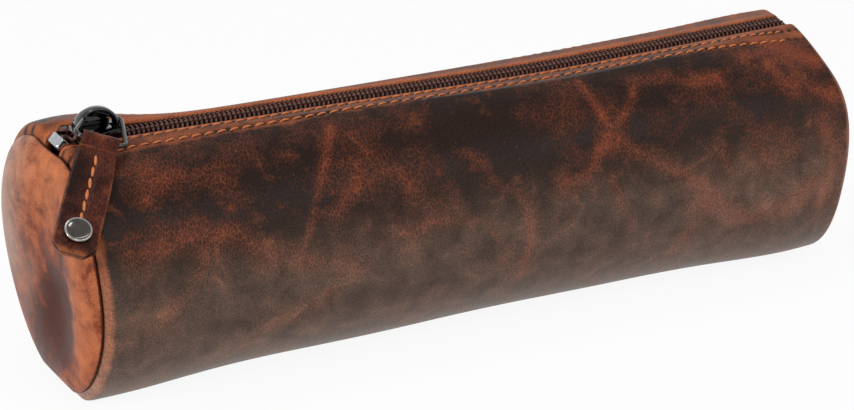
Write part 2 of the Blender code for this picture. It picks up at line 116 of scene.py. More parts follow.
def remap(tree, value, low, high, to_low, to_high):
    """Maps the range from low to high onto another one, cut off at both ends."""
    inputs = {"Value": value, "From Min": low, "From Max": high, "To Min": to_low, "To Max": to_high}
    return node(tree, "MapRange", inputs).outputs[0]


def blend(tree, share, first, second, kind="MIX"):
    """The first colour, changed by this share of the second: mixed or multiplied."""
    return node(tree, "Mix", {0: share, 6: first, 7: second}, data_type="RGBA", blend_type=kind).outputs[2]


def colour_ramp(tree, value, stops):
    """A colour ramp through stops of position and colour, giving its colour output."""
    made = node(tree, "ValToRGB", {"Fac": value})
    elements = made.color_ramp.elements
    for (place, colour), element in zip(stops, (elements[0], elements[1])):
        element.position, element.color = place, (*colour, 1)
    for place, colour in stops[2:]:
        elements.new(place).color = (*colour, 1)
    return made.outputs["Color"]


print("node helpers are ready")

# %% [markdown]
# ## Where a material starts and ends
# Every finish begins as an empty graph and ends in one Principled surface. Noise breaks up its
# colour, placed by the object's own coordinates, in metres, so that it doesn't slide when a
# piece moves. The same noise as a bump lets the surface catch the light.

# %% Material helper
def new_material(name):
    """An empty node material and its node tree."""
    made = bpy.data.materials.new(name)
    made.use_nodes = True
    made.node_tree.nodes.clear()
    return made, made.node_tree


def own_place(tree):
    """The place of each shaded point in its object's own coordinates."""
    return node(tree, "TexCoord").outputs["Object"]


def noise(tree, place, scale, detail=2, roughness=0.5, distortion=0.0):
    """Noise with this many spots a metre; detail and roughness add finer layers to it."""
    inputs = {"Vector": place, "Scale": scale, "Detail": detail}
    inputs |= {"Roughness": roughness, "Distortion": distortion}
    return node(tree, "TexNoise", inputs).outputs["Fac"]


def bumped(tree, height, strength, distance):
    """The normal of a surface that this pattern raises, by up to this distance in metres."""
    return node(tree, "Bump", {"Height": height, "Strength": strength, "Distance": distance}).outputs[0]


def finish_material(tree, colour, roughness, inputs):
    """Ends a material in a Principled surface of this colour and roughness, with more inputs by name."""
    shader = node(tree, "BsdfPrincipled", {"Base Color": colour, "Roughness": roughness, **inputs})
    node(tree, "OutputMaterial", {"Surface": shader.outputs[0]})


print("material helpers are ready")

# %% [markdown]
# ## White floor and sky
# A product photograph stands on a paper sweep that comes out pure white. If the lamps alone
# made it white, they would burn out the leather too. So the floor is an ordinary pale diffuse
# surface for the light, and only rays that come straight from the camera, or by way of a shiny
# metal, also see plain white mixed in. The shadow under the tube still shows through a little.

# %% Floor and sky
scene = bpy.context.scene
scene.view_settings.view_transform = "Standard"
FLOOR_HALF = 3.0
FLOOR_DROP = 0.0002
floor_corners = np.array([(-1, -1, 0), (1, -1, 0), (1, 1, 0), (-1, 1, 0)]) * FLOOR_HALF
floor_mesh = bpy.data.meshes.new("floor")
floor_mesh.from_pydata((floor_corners - (0, 0, FLOOR_DROP)).tolist(), [], [(0, 1, 2, 3)])
floor = bpy.data.objects.new("floor", floor_mesh)
scene.collection.objects.link(floor)


def seen_directly(tree):
    """1 for rays from the camera, and for those a shiny or clear surface sends on."""
    rays = node(tree, "LightPath").outputs
    either = maths(tree, "MAXIMUM", rays["Is Camera Ray"], rays["Is Glossy Ray"])
    return maths(tree, "MAXIMUM", either, rays["Is Transmission Ray"])


FLOOR_WHITE_SHARE = 0.92
floor_white, tree = new_material("floor_white")
lit = node(tree, "BsdfDiffuse", {"Color": (0.85, 0.85, 0.85, 1)})
plain = node(tree, "Emission", {"Color": (1, 1, 1, 1), "Strength": 1.0})
share = maths(tree, "MULTIPLY", seen_directly(tree), FLOOR_WHITE_SHARE)
mixed = node(tree, "MixShader", {0: share, 1: lit.outputs[0], 2: plain.outputs[0]})
node(tree, "OutputMaterial", {"Surface": mixed.outputs[0]})
floor_mesh.materials.append(floor_white)

SKY_STRENGTH = 0.42
world = bpy.data.worlds.new("sky")
scene.world = world
world.use_nodes = True
tree = world.node_tree
tree.nodes.clear()
soft_sky = node(tree, "Background", {"Color": (1, 1, 1, 1), "Strength": SKY_STRENGTH})
white_sky = node(tree, "Background", {"Color": (1, 1, 1, 1), "Strength": 1.0})
share = seen_directly(tree)
mixed = node(tree, "MixShader", {0: share, 1: soft_sky.outputs[0], 2: white_sky.outputs[0]})
node(tree, "OutputWorld", {"Surface": mixed.outputs[0]})
print("floor", 2 * FLOOR_HALF, "m wide")

# %% [markdown]
# ## Three lamps
# The key stands low on the left and lights the round end. A long strip in front and above
# draws the soft band of sheen along the tube and the crisp glints on the metal. A small lamp
# overhead lights the zip. Each is given by place, size and power, and aimed at the tube.

# %% Lamps
LAMPS = {
    "key": ((-0.87, -0.19, 0.34), (0.14, 0.14), 3.9),
    "strip": ((0.2, -0.62, 0.6), (1.1, 0.035), 2.7),
    "top": ((-0.1, 0.1, 0.8), (0.2, 0.14), 1.2),
}
for name, (place, size, power) in LAMPS.items():
    lamp_data = bpy.data.lights.new(name, "AREA")
    lamp_data.shape = "RECTANGLE"
    lamp_data.size, lamp_data.size_y = size
    lamp_data.energy = power
    lamp = bpy.data.objects.new(name, lamp_data)
    scene.collection.objects.link(lamp)
    lamp.location = place
    aim = Vector((0, 0, AXIS_HEIGHT)) - lamp.location
    lamp.rotation_euler = aim.to_track_quat("-Z", "Y").to_euler()
print("lamps:", len(LAMPS))

# %% [markdown]
# ## Turning arrays into meshes
# Every piece here is worked out as a grid of points, so one helper turns such points into an
# object. It also turns the faces outward and stores numbers on the points, which the materials
# read to know where the leather is worn or creased.

# %% Piece helper
def piece(name, points, faces, slot, material, attributes=None):
    """Makes an object from points and faces, turns its faces outward, and stores values per point."""
    mesh = bpy.data.meshes.new(name)
    mesh.from_pydata(np.asarray(points, float).tolist(), [], faces)
    work = bmesh.new()
    work.from_mesh(mesh)
    bmesh.ops.recalc_face_normals(work, faces=work.faces)
    for face in work.faces:
        face.smooth = True
    work.to_mesh(mesh)
    work.free()
    for key, values in (attributes or {}).items():
        values = np.asarray(values, np.float32)
        kind, field = ("FLOAT", "value") if values.ndim == 1 else ("FLOAT_VECTOR", "vector")
        mesh.attributes.new(key, kind, "POINT").data.foreach_set(field, values.reshape(-1))
    mesh.materials.append(material)
    made = bpy.data.objects.new(name, mesh)
    scene.collection.objects.link(made)
    print(name, len(mesh.vertices), "points")
    return made

# %% [markdown]
# ## Faces for shells and tubes
# Two kinds of grid cover all pieces. A shell is an outer and an inner sheet joined round their
# border, as leather or tape with a thickness. A tube is a row of rings, as wire or thread.
# These helpers only number the corners of the faces, so the shapes stay pure arithmetic.

# %% Faces
def shell_faces(rows, columns):
    """Faces of two open grids of this size, the second under the first, joined round their border."""
    grid = np.arange(rows * columns).reshape(rows, columns)
    faces = []
    for layer in (grid, grid + grid.size):
        corners = np.stack([layer[:-1, :-1], layer[1:, :-1], layer[1:, 1:], layer[:-1, 1:]], axis=-1)
        faces += corners.reshape(-1, 4).tolist()
    border = np.concatenate([grid[0, :-1], grid[:-1, -1], grid[-1, :0:-1], grid[:0:-1, 0]])
    onward = np.roll(border, -1)
    return faces + np.stack([border, onward, onward + grid.size, border + grid.size], axis=-1).tolist()


def tube_faces(count, sides, loop=False, poles=False):
    """Faces of a row of rings: a loop, closed by a point at each end, or capped by a face at each end."""
    grid = np.arange(count * sides).reshape(count, sides)
    onward = np.roll(grid, -1, axis=1)
    corners = [grid, onward, np.roll(onward, -1, axis=0), np.roll(grid, -1, axis=0)]
    faces = np.stack(corners, axis=-1)[: count if loop else count - 1].reshape(-1, 4).tolist()
    if poles:
        for row, pole in ((0, grid.size), (-1, grid.size + 1)):
            faces += np.stack([grid[row], onward[row], np.full(sides, pole)], axis=-1).tolist()
    elif not loop:
        faces += [grid[0].tolist(), grid[-1].tolist()]
    return faces


def many_tubes(rings):
    """Points and faces of many short capped tubes from an array of tubes, rings, sides and three numbers."""
    tubes, count, sides = rings.shape[:3]
    faces = []
    for face in tube_faces(count, sides):
        start = np.arange(tubes)[:, None] * count * sides
        faces += (start + np.array(face)[None, :]).tolist()
    return rings.reshape(-1, 3), faces


print("a 3 by 4 shell has", len(shell_faces(3, 4)), "faces")

# %% [markdown]
# ## Pieces from grids
# A shape is worked out as three grids of numbers: how far along, across and up each point
# lies. These helpers join them into points, and points and faces into a whole piece.

# %% Pieces from grids
def joined(*parts):
    """Spreads these numbers over one grid and joins them into its points."""
    return np.stack(np.broadcast_arrays(*parts), axis=-1)


def all_points(*grids):
    """The points of these grids in one list."""
    return np.concatenate([np.reshape(grid, (-1, 3)) for grid in grids])


def shell_piece(name, outer, inner, slot, material, attributes=None):
    """A piece from an outer and an inner sheet of the same grid."""
    faces = shell_faces(*outer.shape[:2])
    return piece(name, all_points(outer, inner), faces, slot, material, attributes)


def tube_piece(name, rings, slot, material, loop=False):
    """A piece from one row of rings, capped at both ends or closed to a loop."""
    return piece(name, all_points(rings), tube_faces(*rings.shape[:2], loop=loop), slot, material)


print("a joined point:", joined(1.0, 2.0, 3.0).tolist())

# %% [markdown]
# ## Three small curves
# A smooth step serves for anything that starts or stops gently, a bell for a dent, a swelling
# or a groove, and a squared wave for a section with rounded corners.

# %% Curves
def ease(value, start, end):
    """A smooth step from 0 at start to 1 at end."""
    share = np.clip((value - start) / (end - start), 0, 1)
    return share * share * (3 - 2 * share)


def bell(value, middle, reach):
    """exp(-((value - middle) / reach) squared): 1 at the middle and fading on both sides."""
    return np.exp(-(((value - middle) / reach) ** 2))


def squared(wave, power):
    """A wave between -1 and 1 with its sign kept and its size raised to a power below one."""
    return np.sign(wave) * np.abs(wave) ** power


print("bell at its reach:", round(float(bell(1.0, 0.0, 1.0)), 3))

# %% [markdown]
# ## Wires
# A wire is a circle carried along a path and kept square to it. A stitch is a short wire that
# thins at its ends.

# %% Wires
def full_turn(count):
    """This many even angles of one whole turn."""
    return np.linspace(0, 2 * math.pi, count, endpoint=False)


def unit(direction):
    """The same direction at a length of one."""
    return direction / np.linalg.norm(direction, axis=-1, keepdims=True)


def swept_rings(path, radius, sides, loop=False, hint=(0.0, 0.0, 1.0)):
    """Rings of this radius round every point of a path, square to it, levelled by a hint direction."""
    ahead = np.roll(path, -1, axis=-2) - np.roll(path, 1, axis=-2) if loop else np.gradient(path, axis=-2)
    ahead = unit(ahead)
    beside = unit(np.cross(ahead, np.asarray(hint)))
    over = np.cross(beside, ahead)
    turn = full_turn(sides)[:, None]
    radius = np.broadcast_to(radius, path.shape[:-1])[..., None, None]
    around = np.cos(turn) * beside[..., None, :] + np.sin(turn) * over[..., None, :]
    return path[..., None, :] + radius * around


def thread_rings(path, radius, fullness, share, sides):
    """Rings of short threads: their radius times the root of fullness less the square of the share."""
    return swept_rings(path, radius * np.sqrt(fullness - share**2), sides)


print("a quarter turn:", round(math.degrees(full_turn(4)[1])), "degrees")

# %% [markdown]
# ## The soft tube
# The leather tube isn't a true cylinder. It lies on a flat patch, the zip pulls its top level,
# and the hide bulges and sinks slowly where hands and pens have pushed it. A sculpted mesh
# could hold that, but one function is better: it gives the skin at any place along the tube,
# any angle from the top and any depth below, so panel, stitches and ends all follow it.

# %% Tube sizes and slow dents
TUBE_RADIUS = 0.0304
TOP_HEIGHT = 0.0595
RIM_X = 0.1025
WAVE_HEIGHT = 0.00015
WAVES_ALONG, WAVES_ROUND = 97, 3
SWELLS = [  # place and reach along the tube, angle and reach towards the near side, height
    (-0.010, 0.075, -28, 16, -0.0015),
    (0.094, 0.022, -24, 16, 0.0009),
    (0.090, 0.034, 125, 38, 0.0030),
    (-0.100, 0.026, 150, 30, 0.0015),
    (-0.094, 0.018, -28, 24, 0.0042),
    (0.104, 0.022, 34, 24, -0.0026),
]


def near_degrees(angle):
    """Signed degrees from the top, positive on the side towards the camera."""
    return -np.degrees((angle + math.pi) % (2 * math.pi) - math.pi)


def swell(x, angle):
    """How far the skin stands out: a slow sine wave, plus bells along the tube times bells round it."""
    degrees = near_degrees(angle)
    wave = WAVE_HEIGHT * np.sin(x * WAVES_ALONG + angle * WAVES_ROUND)
    total = wave * ease(np.abs(degrees), 25, 50) * ease(np.abs(x), 0.1, 0.08)
    for place, reach, middle, spread, height in SWELLS:
        away = (degrees - middle + 180) % 360 - 180
        total = total + height * bell(x, place, reach) * bell(away, 0, spread)
    return total


print("slow dents:", len(SWELLS))

# %% [markdown]
# ## Sag, lift and lean
# Three more moves finish the shape. The top hangs a little between the two stiff ends, the far
# lip of the mouth stands up where the slider pushes it, and the sewn ends lean in or out.

# %% Skin
SAG_STEP, SAG_DEPTH = 0.0003, 0.0015
LIP_HEIGHT = 0.0038
LEFT_LEANS = [(-60, 45, -0.0015), (22, 36, 0.0024), (105, 40, 0.0015)]  # angle, reach, shift along X
RIGHT_LEANS = [(115, 45, -0.005), (5, 30, -0.0024)]
LEAN_FROM = 0.085


def top_sag(x):
    """How far the top hangs: a small step past the slider and a long bell over the middle."""
    return SAG_STEP * ease(x, -0.08, -0.05) + SAG_DEPTH * bell(x, 0.025, 0.055)


def lip_lift(x, angle):
    """How far the far lip stands up beside the slider: a bell along the tube times a bell round it."""
    return LIP_HEIGHT * bell(x, -0.094, 0.014) * bell(near_degrees(angle), -24, 16)


def end_lean(x, angle):
    """Shift of the ends along the tube: bells round the rim, fading to nothing away from each end."""
    degrees = near_degrees(angle)
    left = sum(shift * bell(degrees, middle, reach) for middle, reach, shift in LEFT_LEANS)
    right = sum(shift * bell(degrees, middle, reach) for middle, reach, shift in RIGHT_LEANS)
    return left * ease(x, -LEAN_FROM, -RIM_X) + right * ease(x, LEAN_FROM, RIM_X)


def skin(x, angle, depth):
    """A circle less its depth, plus the swell, kept above the table and under the level of the zip."""
    radius = TUBE_RADIUS - depth + swell(x, angle)
    height = AXIS_HEIGHT + radius * np.cos(angle)
    top = TOP_HEIGHT - depth - top_sag(x) + lip_lift(x, angle)
    return joined(x + end_lean(x, angle), radius * np.sin(angle), np.clip(height, depth, top))


print("top in the middle:", round(float(skin(0.0, 0.0, 0.0)[2]) * 1000, 1), "mm")

# %% [markdown]
# ## The mouth
# The two folded edges of the hide leave a slot for the zip. The near edge lies closer to the
# coils than the far one. The slot widens where the slider parts the coils and closes in again
# round the metal clamp at the zip's end.

# %% Mouth
MOUTH_HALF = {"near": 0.0034, "far": 0.0041}
MOUTH_HUMP = 0.0011
MOUTH_PINCH = 0.0006


def mouth_half(x, side):
    """Half the slot's width on one side: even, plus a hump at the slider, less a little at the clamp."""
    hump = MOUTH_HUMP * ease(x, -0.084, -0.0925) * ease(x, -0.0995, -0.0955)
    return MOUTH_HALF[side] + hump - MOUTH_PINCH * ease(x, -0.0965, -0.1005)


print("slot:", round(1000 * sum(MOUTH_HALF.values()), 1), "mm")

# %% [markdown]
# ## Patterns of the hide
# A hide has marks of many sizes. Thin cracks run round short cells, longer round the tube than
# along it, as a rolled hide creases. A few pale specks lie between them. Cell patterns make
# both: the border of a cell is a crack, and its middle is a speck. Bending the cells with
# noise takes away their straight edges, which would look like a net.

# %% Patterns of the hide
CRACK_CELLS = 930
CRACK_STRETCH = (1.5, 0.75, 1.0)
CRACK_BEND = 0.0011
SPECK_CELLS, SPECK_SIZE, SPECK_CHANCE = 330, 0.07, 0.72


def stored(tree, name, output="Fac"):
    """A value that the piece's points carry under this name."""
    return node(tree, "Attribute", attribute_name=name).outputs[output]


def cells(tree, place, scale, **settings):
    """Cells round scattered points, this many a metre, with all their outputs."""
    inputs = {"Vector": place, "Scale": scale, "Randomness": 1.0}
    return node(tree, "TexVoronoi", inputs, **settings).outputs


def crack_distance(tree, place):
    """Distance to the nearest cell border, after stretching the place and adding a noise to it."""
    stretched = node(tree, "Mapping", {"Vector": place, "Scale": CRACK_STRETCH}).outputs[0]
    warp = node(tree, "TexNoise", {"Vector": place, "Scale": 500, "Detail": 2}).outputs["Color"]
    inputs = {0: warp, 1: (CRACK_BEND, CRACK_BEND, CRACK_BEND), 2: stretched}
    bent = node(tree, "VectorMath", inputs, operation="MULTIPLY_ADD").outputs[0]
    return cells(tree, bent, CRACK_CELLS, feature="DISTANCE_TO_EDGE")["Distance"]


def rare_specks(tree, place):
    """1 in the middle of those cells whose random value is above the chance, and 0 elsewhere."""
    found = cells(tree, place, SPECK_CELLS)
    middle = maths(tree, "LESS_THAN", found["Distance"], SPECK_SIZE)
    value = node(tree, "SeparateColor", {0: found["Color"]}).outputs[0]
    return maths(tree, "MULTIPLY", middle, maths(tree, "GREATER_THAN", value, SPECK_CHANCE))


print("cracks:", CRACK_CELLS, "cells a metre")

# %% [markdown]
# ## Leather
# Waxed pull-up leather is dark where the wax lies deep and turns rust red where the hide is
# pulled or creased. The shader reads four values stored on the piece: the place on the flat
# hide; a pull painted along creases, which on the ends also carries painted shade and painted
# highlight; a wear high along worn edges, which also carries a painted highlight on the rims and
# ends and painted shade on the stitch rows, the dent and the seam; and a painted sheen, a pale
# painted reflection low on the tube. Clouds and small patches of noise break them up, so no
# painted line stays even. The cracks show most where the hide is pulled.

# %% Leather material
CLOUD_SWAY, PATCH_SWAY = 1.9, 1.35
CRACK_WIDTH = 0.13
SPECK_STRENGTH = 0.25
# Pale colour of the painted sheen, a painted reflection of the white floor.
PAINTED_SHEEN_COLOUR = (0.44, 0.3, 0.23, 1)
BLOOM_TINT = (1.0, 0.86, 0.74, 1)


def leather_material(name, colours, roughness, cracks, gleam, bloom):
    """Four colours from deep wax to bare edge, gloss, then strengths of cracks, reflections and bloom."""
    made, tree = new_material(name)
    deep, wax, rust, edge = colours
    place = stored(tree, "hide", "Vector")
    cloud = maths(tree, "SUBTRACT", noise(tree, place, 34, 5, 0.6, 0.7), 0.5)
    patch = noise(tree, place, 140, 4, 0.6, 0.4)
    small = maths(tree, "SUBTRACT", patch, 0.5)
    grain = noise(tree, place, 2300, 2, 0.6)
    # The stored pull moves the colour towards rust: real creases on the tube, and painted shade and painted
    # highlight on the ends.
    sway = maths(tree, "MULTIPLY_ADD", cloud, CLOUD_SWAY, stored(tree, "pull_and_painted_light"))
    sway = maths(tree, "MULTIPLY_ADD", small, PATCH_SWAY, sway)
    colour = colour_ramp(tree, sway, [(0.0, deep), (1.0, rust), (0.4, wax)])
    line = remap(tree, crack_distance(tree, place), 0.0, CRACK_WIDTH, 1.0, 0.0)
    line = maths(tree, "MULTIPLY", line, remap(tree, sway, -0.1, 0.6, 0.1, 1.0))
    # Mixes in the edge colour by the stored wear: worn hide, painted highlight on rims and ends, and painted
    # shade where stitch rows, dent and seam lower it.
    wear_and_light_share = remap(tree, maths(tree, "MULTIPLY_ADD", small, 1.4, stored(tree, "wear_and_painted_light")), 0.15, 1.0, 0.0, 1.0)
    speck = maths(tree, "MULTIPLY", rare_specks(tree, place), SPECK_STRENGTH)
    for share in (maths(tree, "MULTIPLY", line, cracks), wear_and_light_share, speck):
        colour = blend(tree, share, colour, (*edge, 1))
    # Painted sheen: the pale colour mixed in where the points carry it, standing for the white floor's
    # reflection.
    painted_sheen_share = maths(tree, "MULTIPLY", stored(tree, "painted_sheen"), remap(tree, patch, 0.25, 0.75, 0.55, 1.45))
    colour = blend(tree, painted_sheen_share, colour, PAINTED_SHEEN_COLOUR)
    colour = blend(tree, 1.0, colour, remap(tree, grain, 0.3, 0.7, 0.6, 1.4), "MULTIPLY")
    pores = maths(tree, "MULTIPLY_ADD", cells(tree, place, 1500)["Distance"], 0.6, grain)
    height = maths(tree, "MULTIPLY_ADD", line, -0.6, pores)
    gloss = remap(tree, patch, 0.3, 0.7, roughness - 0.06, roughness + 0.1)
    inputs = {"Specular IOR Level": gleam, "Normal": bumped(tree, height, 0.3, 0.00018)}
    inputs |= {"Sheen Weight": bloom, "Sheen Roughness": 0.35, "Sheen Tint": BLOOM_TINT}
    finish_material(tree, colour, gloss, inputs)
    return made


TUBE_COLOURS = (0.0105, 0.0044, 0.0032), (0.035, 0.0095, 0.0052), (0.125, 0.026, 0.0115), (0.36, 0.1, 0.037)
# The ends' colours are brighter than the tube's: painted light for the key lamp that falls on the round ends.
LIT_END_COLOURS = (0.06, 0.013, 0.007), (0.18, 0.035, 0.014), (0.38, 0.095, 0.037), (0.54, 0.18, 0.07)
tube_leather = leather_material("tube_leather", TUBE_COLOURS, 0.38, 0.4, 0.1, 0.0)
end_leather = leather_material("end_leather_painted_lit", LIT_END_COLOURS, 0.36, 0.35, 0.1, 0.03)
print("leathers: tube and ends")

# %% [markdown]
# ## Creases to paint
# The rust coloured creases are laid down as strokes: each is a short run of places along the
# tube and angles from the top on the near side. A point's pull is the strongest of all the
# strokes near it, each fading with the square of the distance over its width.

# %% Creases
CREASES = [
    (0.9, 0.0028, [(29, 26), (30, 36), (32, 54)]),
    (0.8, 0.003, [(42, 36), (39, 44), (32, 54)]),
    (1.0, 0.0033, [(32, 54), (27.5, 62), (23, 72), (15.7, 73.4)]),
    (0.8, 0.003, [(32, 55), (39.5, 69), (49, 80), (56, 90), (66, 103), (76, 110)]),
    (0.8, 0.003, [(29.5, 76), (31.4, 89), (35.3, 101)]),
    (1.0, 0.005, [(44, 31), (52.5, 31.5), (58, 37), (66, 36.5)]),
    (1.0, 0.005, [(84, 33), (84.4, 43), (88, 52)]),
    (0.9, 0.004, [(78, 26), (85.6, 25.6), (89, 34)]),
    (0.6, 0.003, [(61.5, 72), (62, 82)]),
    (0.55, 0.007, [(71.5, 70), (75, 86), (81, 78)]),
    (0.75, 0.006, [(54.6, 94), (67.7, 107.7), (79.6, 106.6), (87.7, 95.5)]),
    (0.7, 0.004, [(52.8, 107.5), (49.4, 123), (44, 126)]),
    (0.7, 0.003, [(-10, 49), (-4.5, 55.7), (-2, 68), (3.5, 74.5), (5.7, 80)]),
    (0.8, 0.0028, [(3.5, 74.5), (5.7, 80), (6.5, 97), (5, 117)]),
    (0.6, 0.0025, [(-28, 82), (-20, 79), (-9.8, 81), (-4.5, 86)]),
    (0.6, 0.0025, [(-4.6, 88), (-0.2, 100), (-1.7, 106)]),
    (0.5, 0.002, [(19, 77), (18, 86), (17, 93)]),
    (0.75, 0.0022, [(-38, 27), (-44, 47), (-48, 60), (-54, 84)]),
    (0.6, 0.003, [(-35.5, 52.5), (-43.5, 66), (-48.6, 66.3)]),
    (0.75, 0.006, [(-95, 68), (-87, 66), (-78, 64), (-71, 67), (-63.5, 77), (-54, 84), (-43, 90), (-39, 95)]),
    (0.7, 0.005, [(-43, 91), (-46, 102), (-53, 111), (-63, 115)]),
    (0.6, 0.007, [(-88, 27), (-83, 38), (-73, 39), (-67, 44)]),
    (0.6, 0.004, [(-77, 67.5), (-77, 77), (-81, 88), (-88.5, 100)]),
    (0.5, 0.005, [(-66, 116), (-67, 127), (-73, 128)]),
    (0.5, 0.005, [(-37, 47), (-29.5, 47), (-24, 61)]),
    (1.2, 0.0075, [(86, 18), (92, 26), (98, 34)]),
    (1.1, 0.008, [(89, 46), (96, 54)]),
    (0.7, 0.009, [(92, 66), (97, 88), (92, 104)]),
]
CREASE_STRENGTH = 0.85
CREASE_WIDTH = 0.72


def crease_pull(x, arc):
    """Largest over all strokes of strength / (1 + (distance / width)^2)^2, distances to each straight run."""
    found = np.zeros(np.broadcast(x, arc).shape)
    for strength, width, run in CREASES:
        ends = np.array(run, float) * (0.001, math.radians(1) * TUBE_RADIUS)
        for start, stop in zip(ends[:-1], ends[1:]):
            along = stop - start
            share = ((x - start[0]) * along[0] + (arc - start[1]) * along[1]) / (along @ along)
            share = np.clip(share, 0, 1)
            away = np.hypot(x - start[0] - share * along[0], arc - start[1] - share * along[1])
            fade = (1 + (away / (width * CREASE_WIDTH)) ** 2) ** 2
            found = np.maximum(found, strength * CREASE_STRENGTH / fade)
    return found


print("strokes:", len(CREASES))

# %% [markdown]
# ## Where the stitch rows run
# Two rows of stitches follow each folded edge. Thread pulled tight presses a groove into soft
# leather, so before the panel is made we fix where each row runs and how deep its groove is.
# The two rows were sewn one after the other, and their stitches aren't quite the same length.

# %% Stitch rows
ROW_FROM_EDGE = (0.0019, 0.0054)
ROW_GROOVE = 0.00026
GROOVE_REACH = 0.0005
FAR_SHIFT = 0.004
ROW_DRIFT = 0.0014
ROW_LEFT_X = -0.0935
ROW_RIGHT_X = 0.0965
STITCH_PITCH = (0.0029, 0.00318)


def row_arc(x, row, is_far):
    """Distance of a stitch row from the folded zip edge, more on the far side and towards the right end."""
    return ROW_FROM_EDGE[row] + FAR_SHIFT * is_far + ROW_DRIFT * ease(x, 0.03, 0.095)


def hole_wave(x, row):
    """A cosine along a row, 1 at each needle hole and -1 at the middle of each stitch."""
    return np.cos(2 * math.pi * (x - ROW_LEFT_X) / STITCH_PITCH[row])


def row_groove(x, arc_from_edge, is_far):
    """A groove under each stitch row: a bell across it, deeper at each needle hole."""
    groove = 0
    for row in range(2):
        hole = 0.7 + 0.6 * hole_wave(x, row)
        groove = groove + ROW_GROOVE * hole * bell(arc_from_edge, row_arc(x, row, is_far), GROOVE_REACH)
    return groove * ease(x, ROW_LEFT_X - 0.002, ROW_LEFT_X)


print("stitches in the first row:", int((ROW_RIGHT_X - ROW_LEFT_X) / STITCH_PITCH[0]))

# %% [markdown]
# ## The panel's lines
# One hide wraps the tube from one side of the zip to the other. Its ends roll in over the rim
# and turn down into a seam allowance. So along the tube we carry a profile of place and depth,
# and round the tube we put columns close together near the zip, where fold and grooves are.

# %% Panel lines
RIM_ROUND = 0.0023
SEAM_ALLOWANCE = 0.0064
LEATHER = 0.0016
FIT_GAP = 0.0003
CURL_X = RIM_X - RIM_ROUND
PANEL_LINES, PANEL_COLUMNS = 257, 104
CLOSE_REACH, CLOSE_STEP = 0.0125, 0.00038


def panel_lines():
    """Along the tube, outer and inner: a seam allowance, a quarter-round rim, the length, and back."""
    turn = np.linspace(math.pi, math.pi / 2, 11)
    middle = np.linspace(-CURL_X, CURL_X, PANEL_LINES)[1:-1]
    lines = []
    for radius, depth in ((RIM_ROUND, 0.0), (RIM_ROUND - LEATHER, LEATHER)):
        face_x = CURL_X + radius
        left_x = np.concatenate([[-face_x, -face_x], -CURL_X + radius * np.cos(turn)])
        curl_depth = RIM_ROUND - radius * np.sin(turn)
        left_depth = np.concatenate([[SEAM_ALLOWANCE, (SEAM_ALLOWANCE + RIM_ROUND) / 2], curl_depth])
        x = np.concatenate([left_x, middle, -left_x[::-1]])
        lines.append((x, np.concatenate([left_depth, np.full(len(middle), depth), left_depth[::-1]])))
    return lines


def panel_columns():
    """Distances round the hide from one zip edge to the other, close together near both edges."""
    whole = 2 * math.pi * TUBE_RADIUS - sum(MOUTH_HALF.values())
    fold = LEATHER / 2 * np.array([0, 0.08, 0.25, 0.5, 0.8, 1.2])
    edge = np.concatenate([fold, np.arange(0.0013, CLOSE_REACH, CLOSE_STEP)])
    wide = np.linspace(CLOSE_REACH, whole - CLOSE_REACH, PANEL_COLUMNS)
    return np.concatenate([edge, wide, whole - edge[::-1]]), whole


def fold_depth(arc):
    """How far a folded edge rounds over: a circle of half the leather's thickness."""
    half = LEATHER / 2
    short = np.clip(half - arc, 0, half)
    return half - np.sqrt(half**2 - short**2)


columns, whole_arc = panel_columns()
print("columns round the hide:", len(columns))

# %% [markdown]
# ## What the hide shows
# The painted creases lie on the side towards the camera, and the far side gets the same strokes
# turned round, as a real hide goes on being creased where nobody looks. The bands along the zip
# are worn. The rims are worn and carry a painted highlight on their rounded edge, and the stitch
# rows get painted shade, deepest at the needle holes. A pale painted sheen, standing for the
# white floor's reflection, lies low on the tube.

# %% Panel values
FAR_STROKES = (0.011, 0.006)
RIM_WEAR_AND_HIGHLIGHT, BESIDE_RIM_WEAR = 0.6, 0.1
BAND_WEAR, BAND_DIP, CUT_EDGE_WEAR = 0.62, 0.15, 0.35
HOLE_SHADE = 0.7
SIDE_SHEEN, UNDER_SHEEN = 0.2, 0.3


def panel_values(x, angle, from_edge):
    """What the leather reads: pull on creases; wear on rims and zip bands, with a painted highlight on the
    rims and painted shade on the stitch rows; painted sheen low down; and place.
    """
    from_top = np.abs(near_degrees(angle))
    arc = np.radians(from_top) * TUBE_RADIUS
    far_pull = crease_pull(FAR_STROKES[0] - x, arc + FAR_STROKES[1])
    pull_and_painted_light = np.where(angle > math.pi, crease_pull(x, arc), far_pull)
    # Rims: paler where the hide is worn, plus a painted highlight on the rounded edge.
    rim = RIM_WEAR_AND_HIGHLIGHT * ease(np.abs(x), RIM_X - 0.0022, RIM_X - 0.0008)
    rim = rim + BESIDE_RIM_WEAR * ease(np.abs(x), RIM_X - 0.009, RIM_X - 0.003)
    band = BAND_WEAR * (1 - ease(from_edge, 0.006, 0.0085)) - BAND_DIP * ease(from_edge, 0.0015, 0.003)
    band = band + CUT_EDGE_WEAR * bell(from_edge, 0.0006, 0.0007)
    stitched = sum(bell(from_edge, row_arc(x, row, angle < math.pi), 0.0006) for row in range(2))
    wear_and_painted_light = np.maximum(rim, band) - HOLE_SHADE * stitched * (0.5 + 0.5 * hole_wave(x, 0))
    # Painted sheen low on the tube: the floor's pale reflection put into the colour.
    painted_sheen = SIDE_SHEEN * ease(from_top, 55, 100) + UNDER_SHEEN * ease(from_top, 105, 150)
    marks, hide = joined(pull_and_painted_light, wear_and_painted_light, painted_sheen), joined(x, angle * TUBE_RADIUS, 0.0)
    pull_and_painted_light, wear_and_painted_light, painted_sheen = all_points(marks, marks).T
    return {"pull_and_painted_light": pull_and_painted_light, "wear_and_painted_light": wear_and_painted_light, "painted_sheen": painted_sheen, "hide": all_points(hide, hide)}


print("wear of the zip bands:", BAND_WEAR)

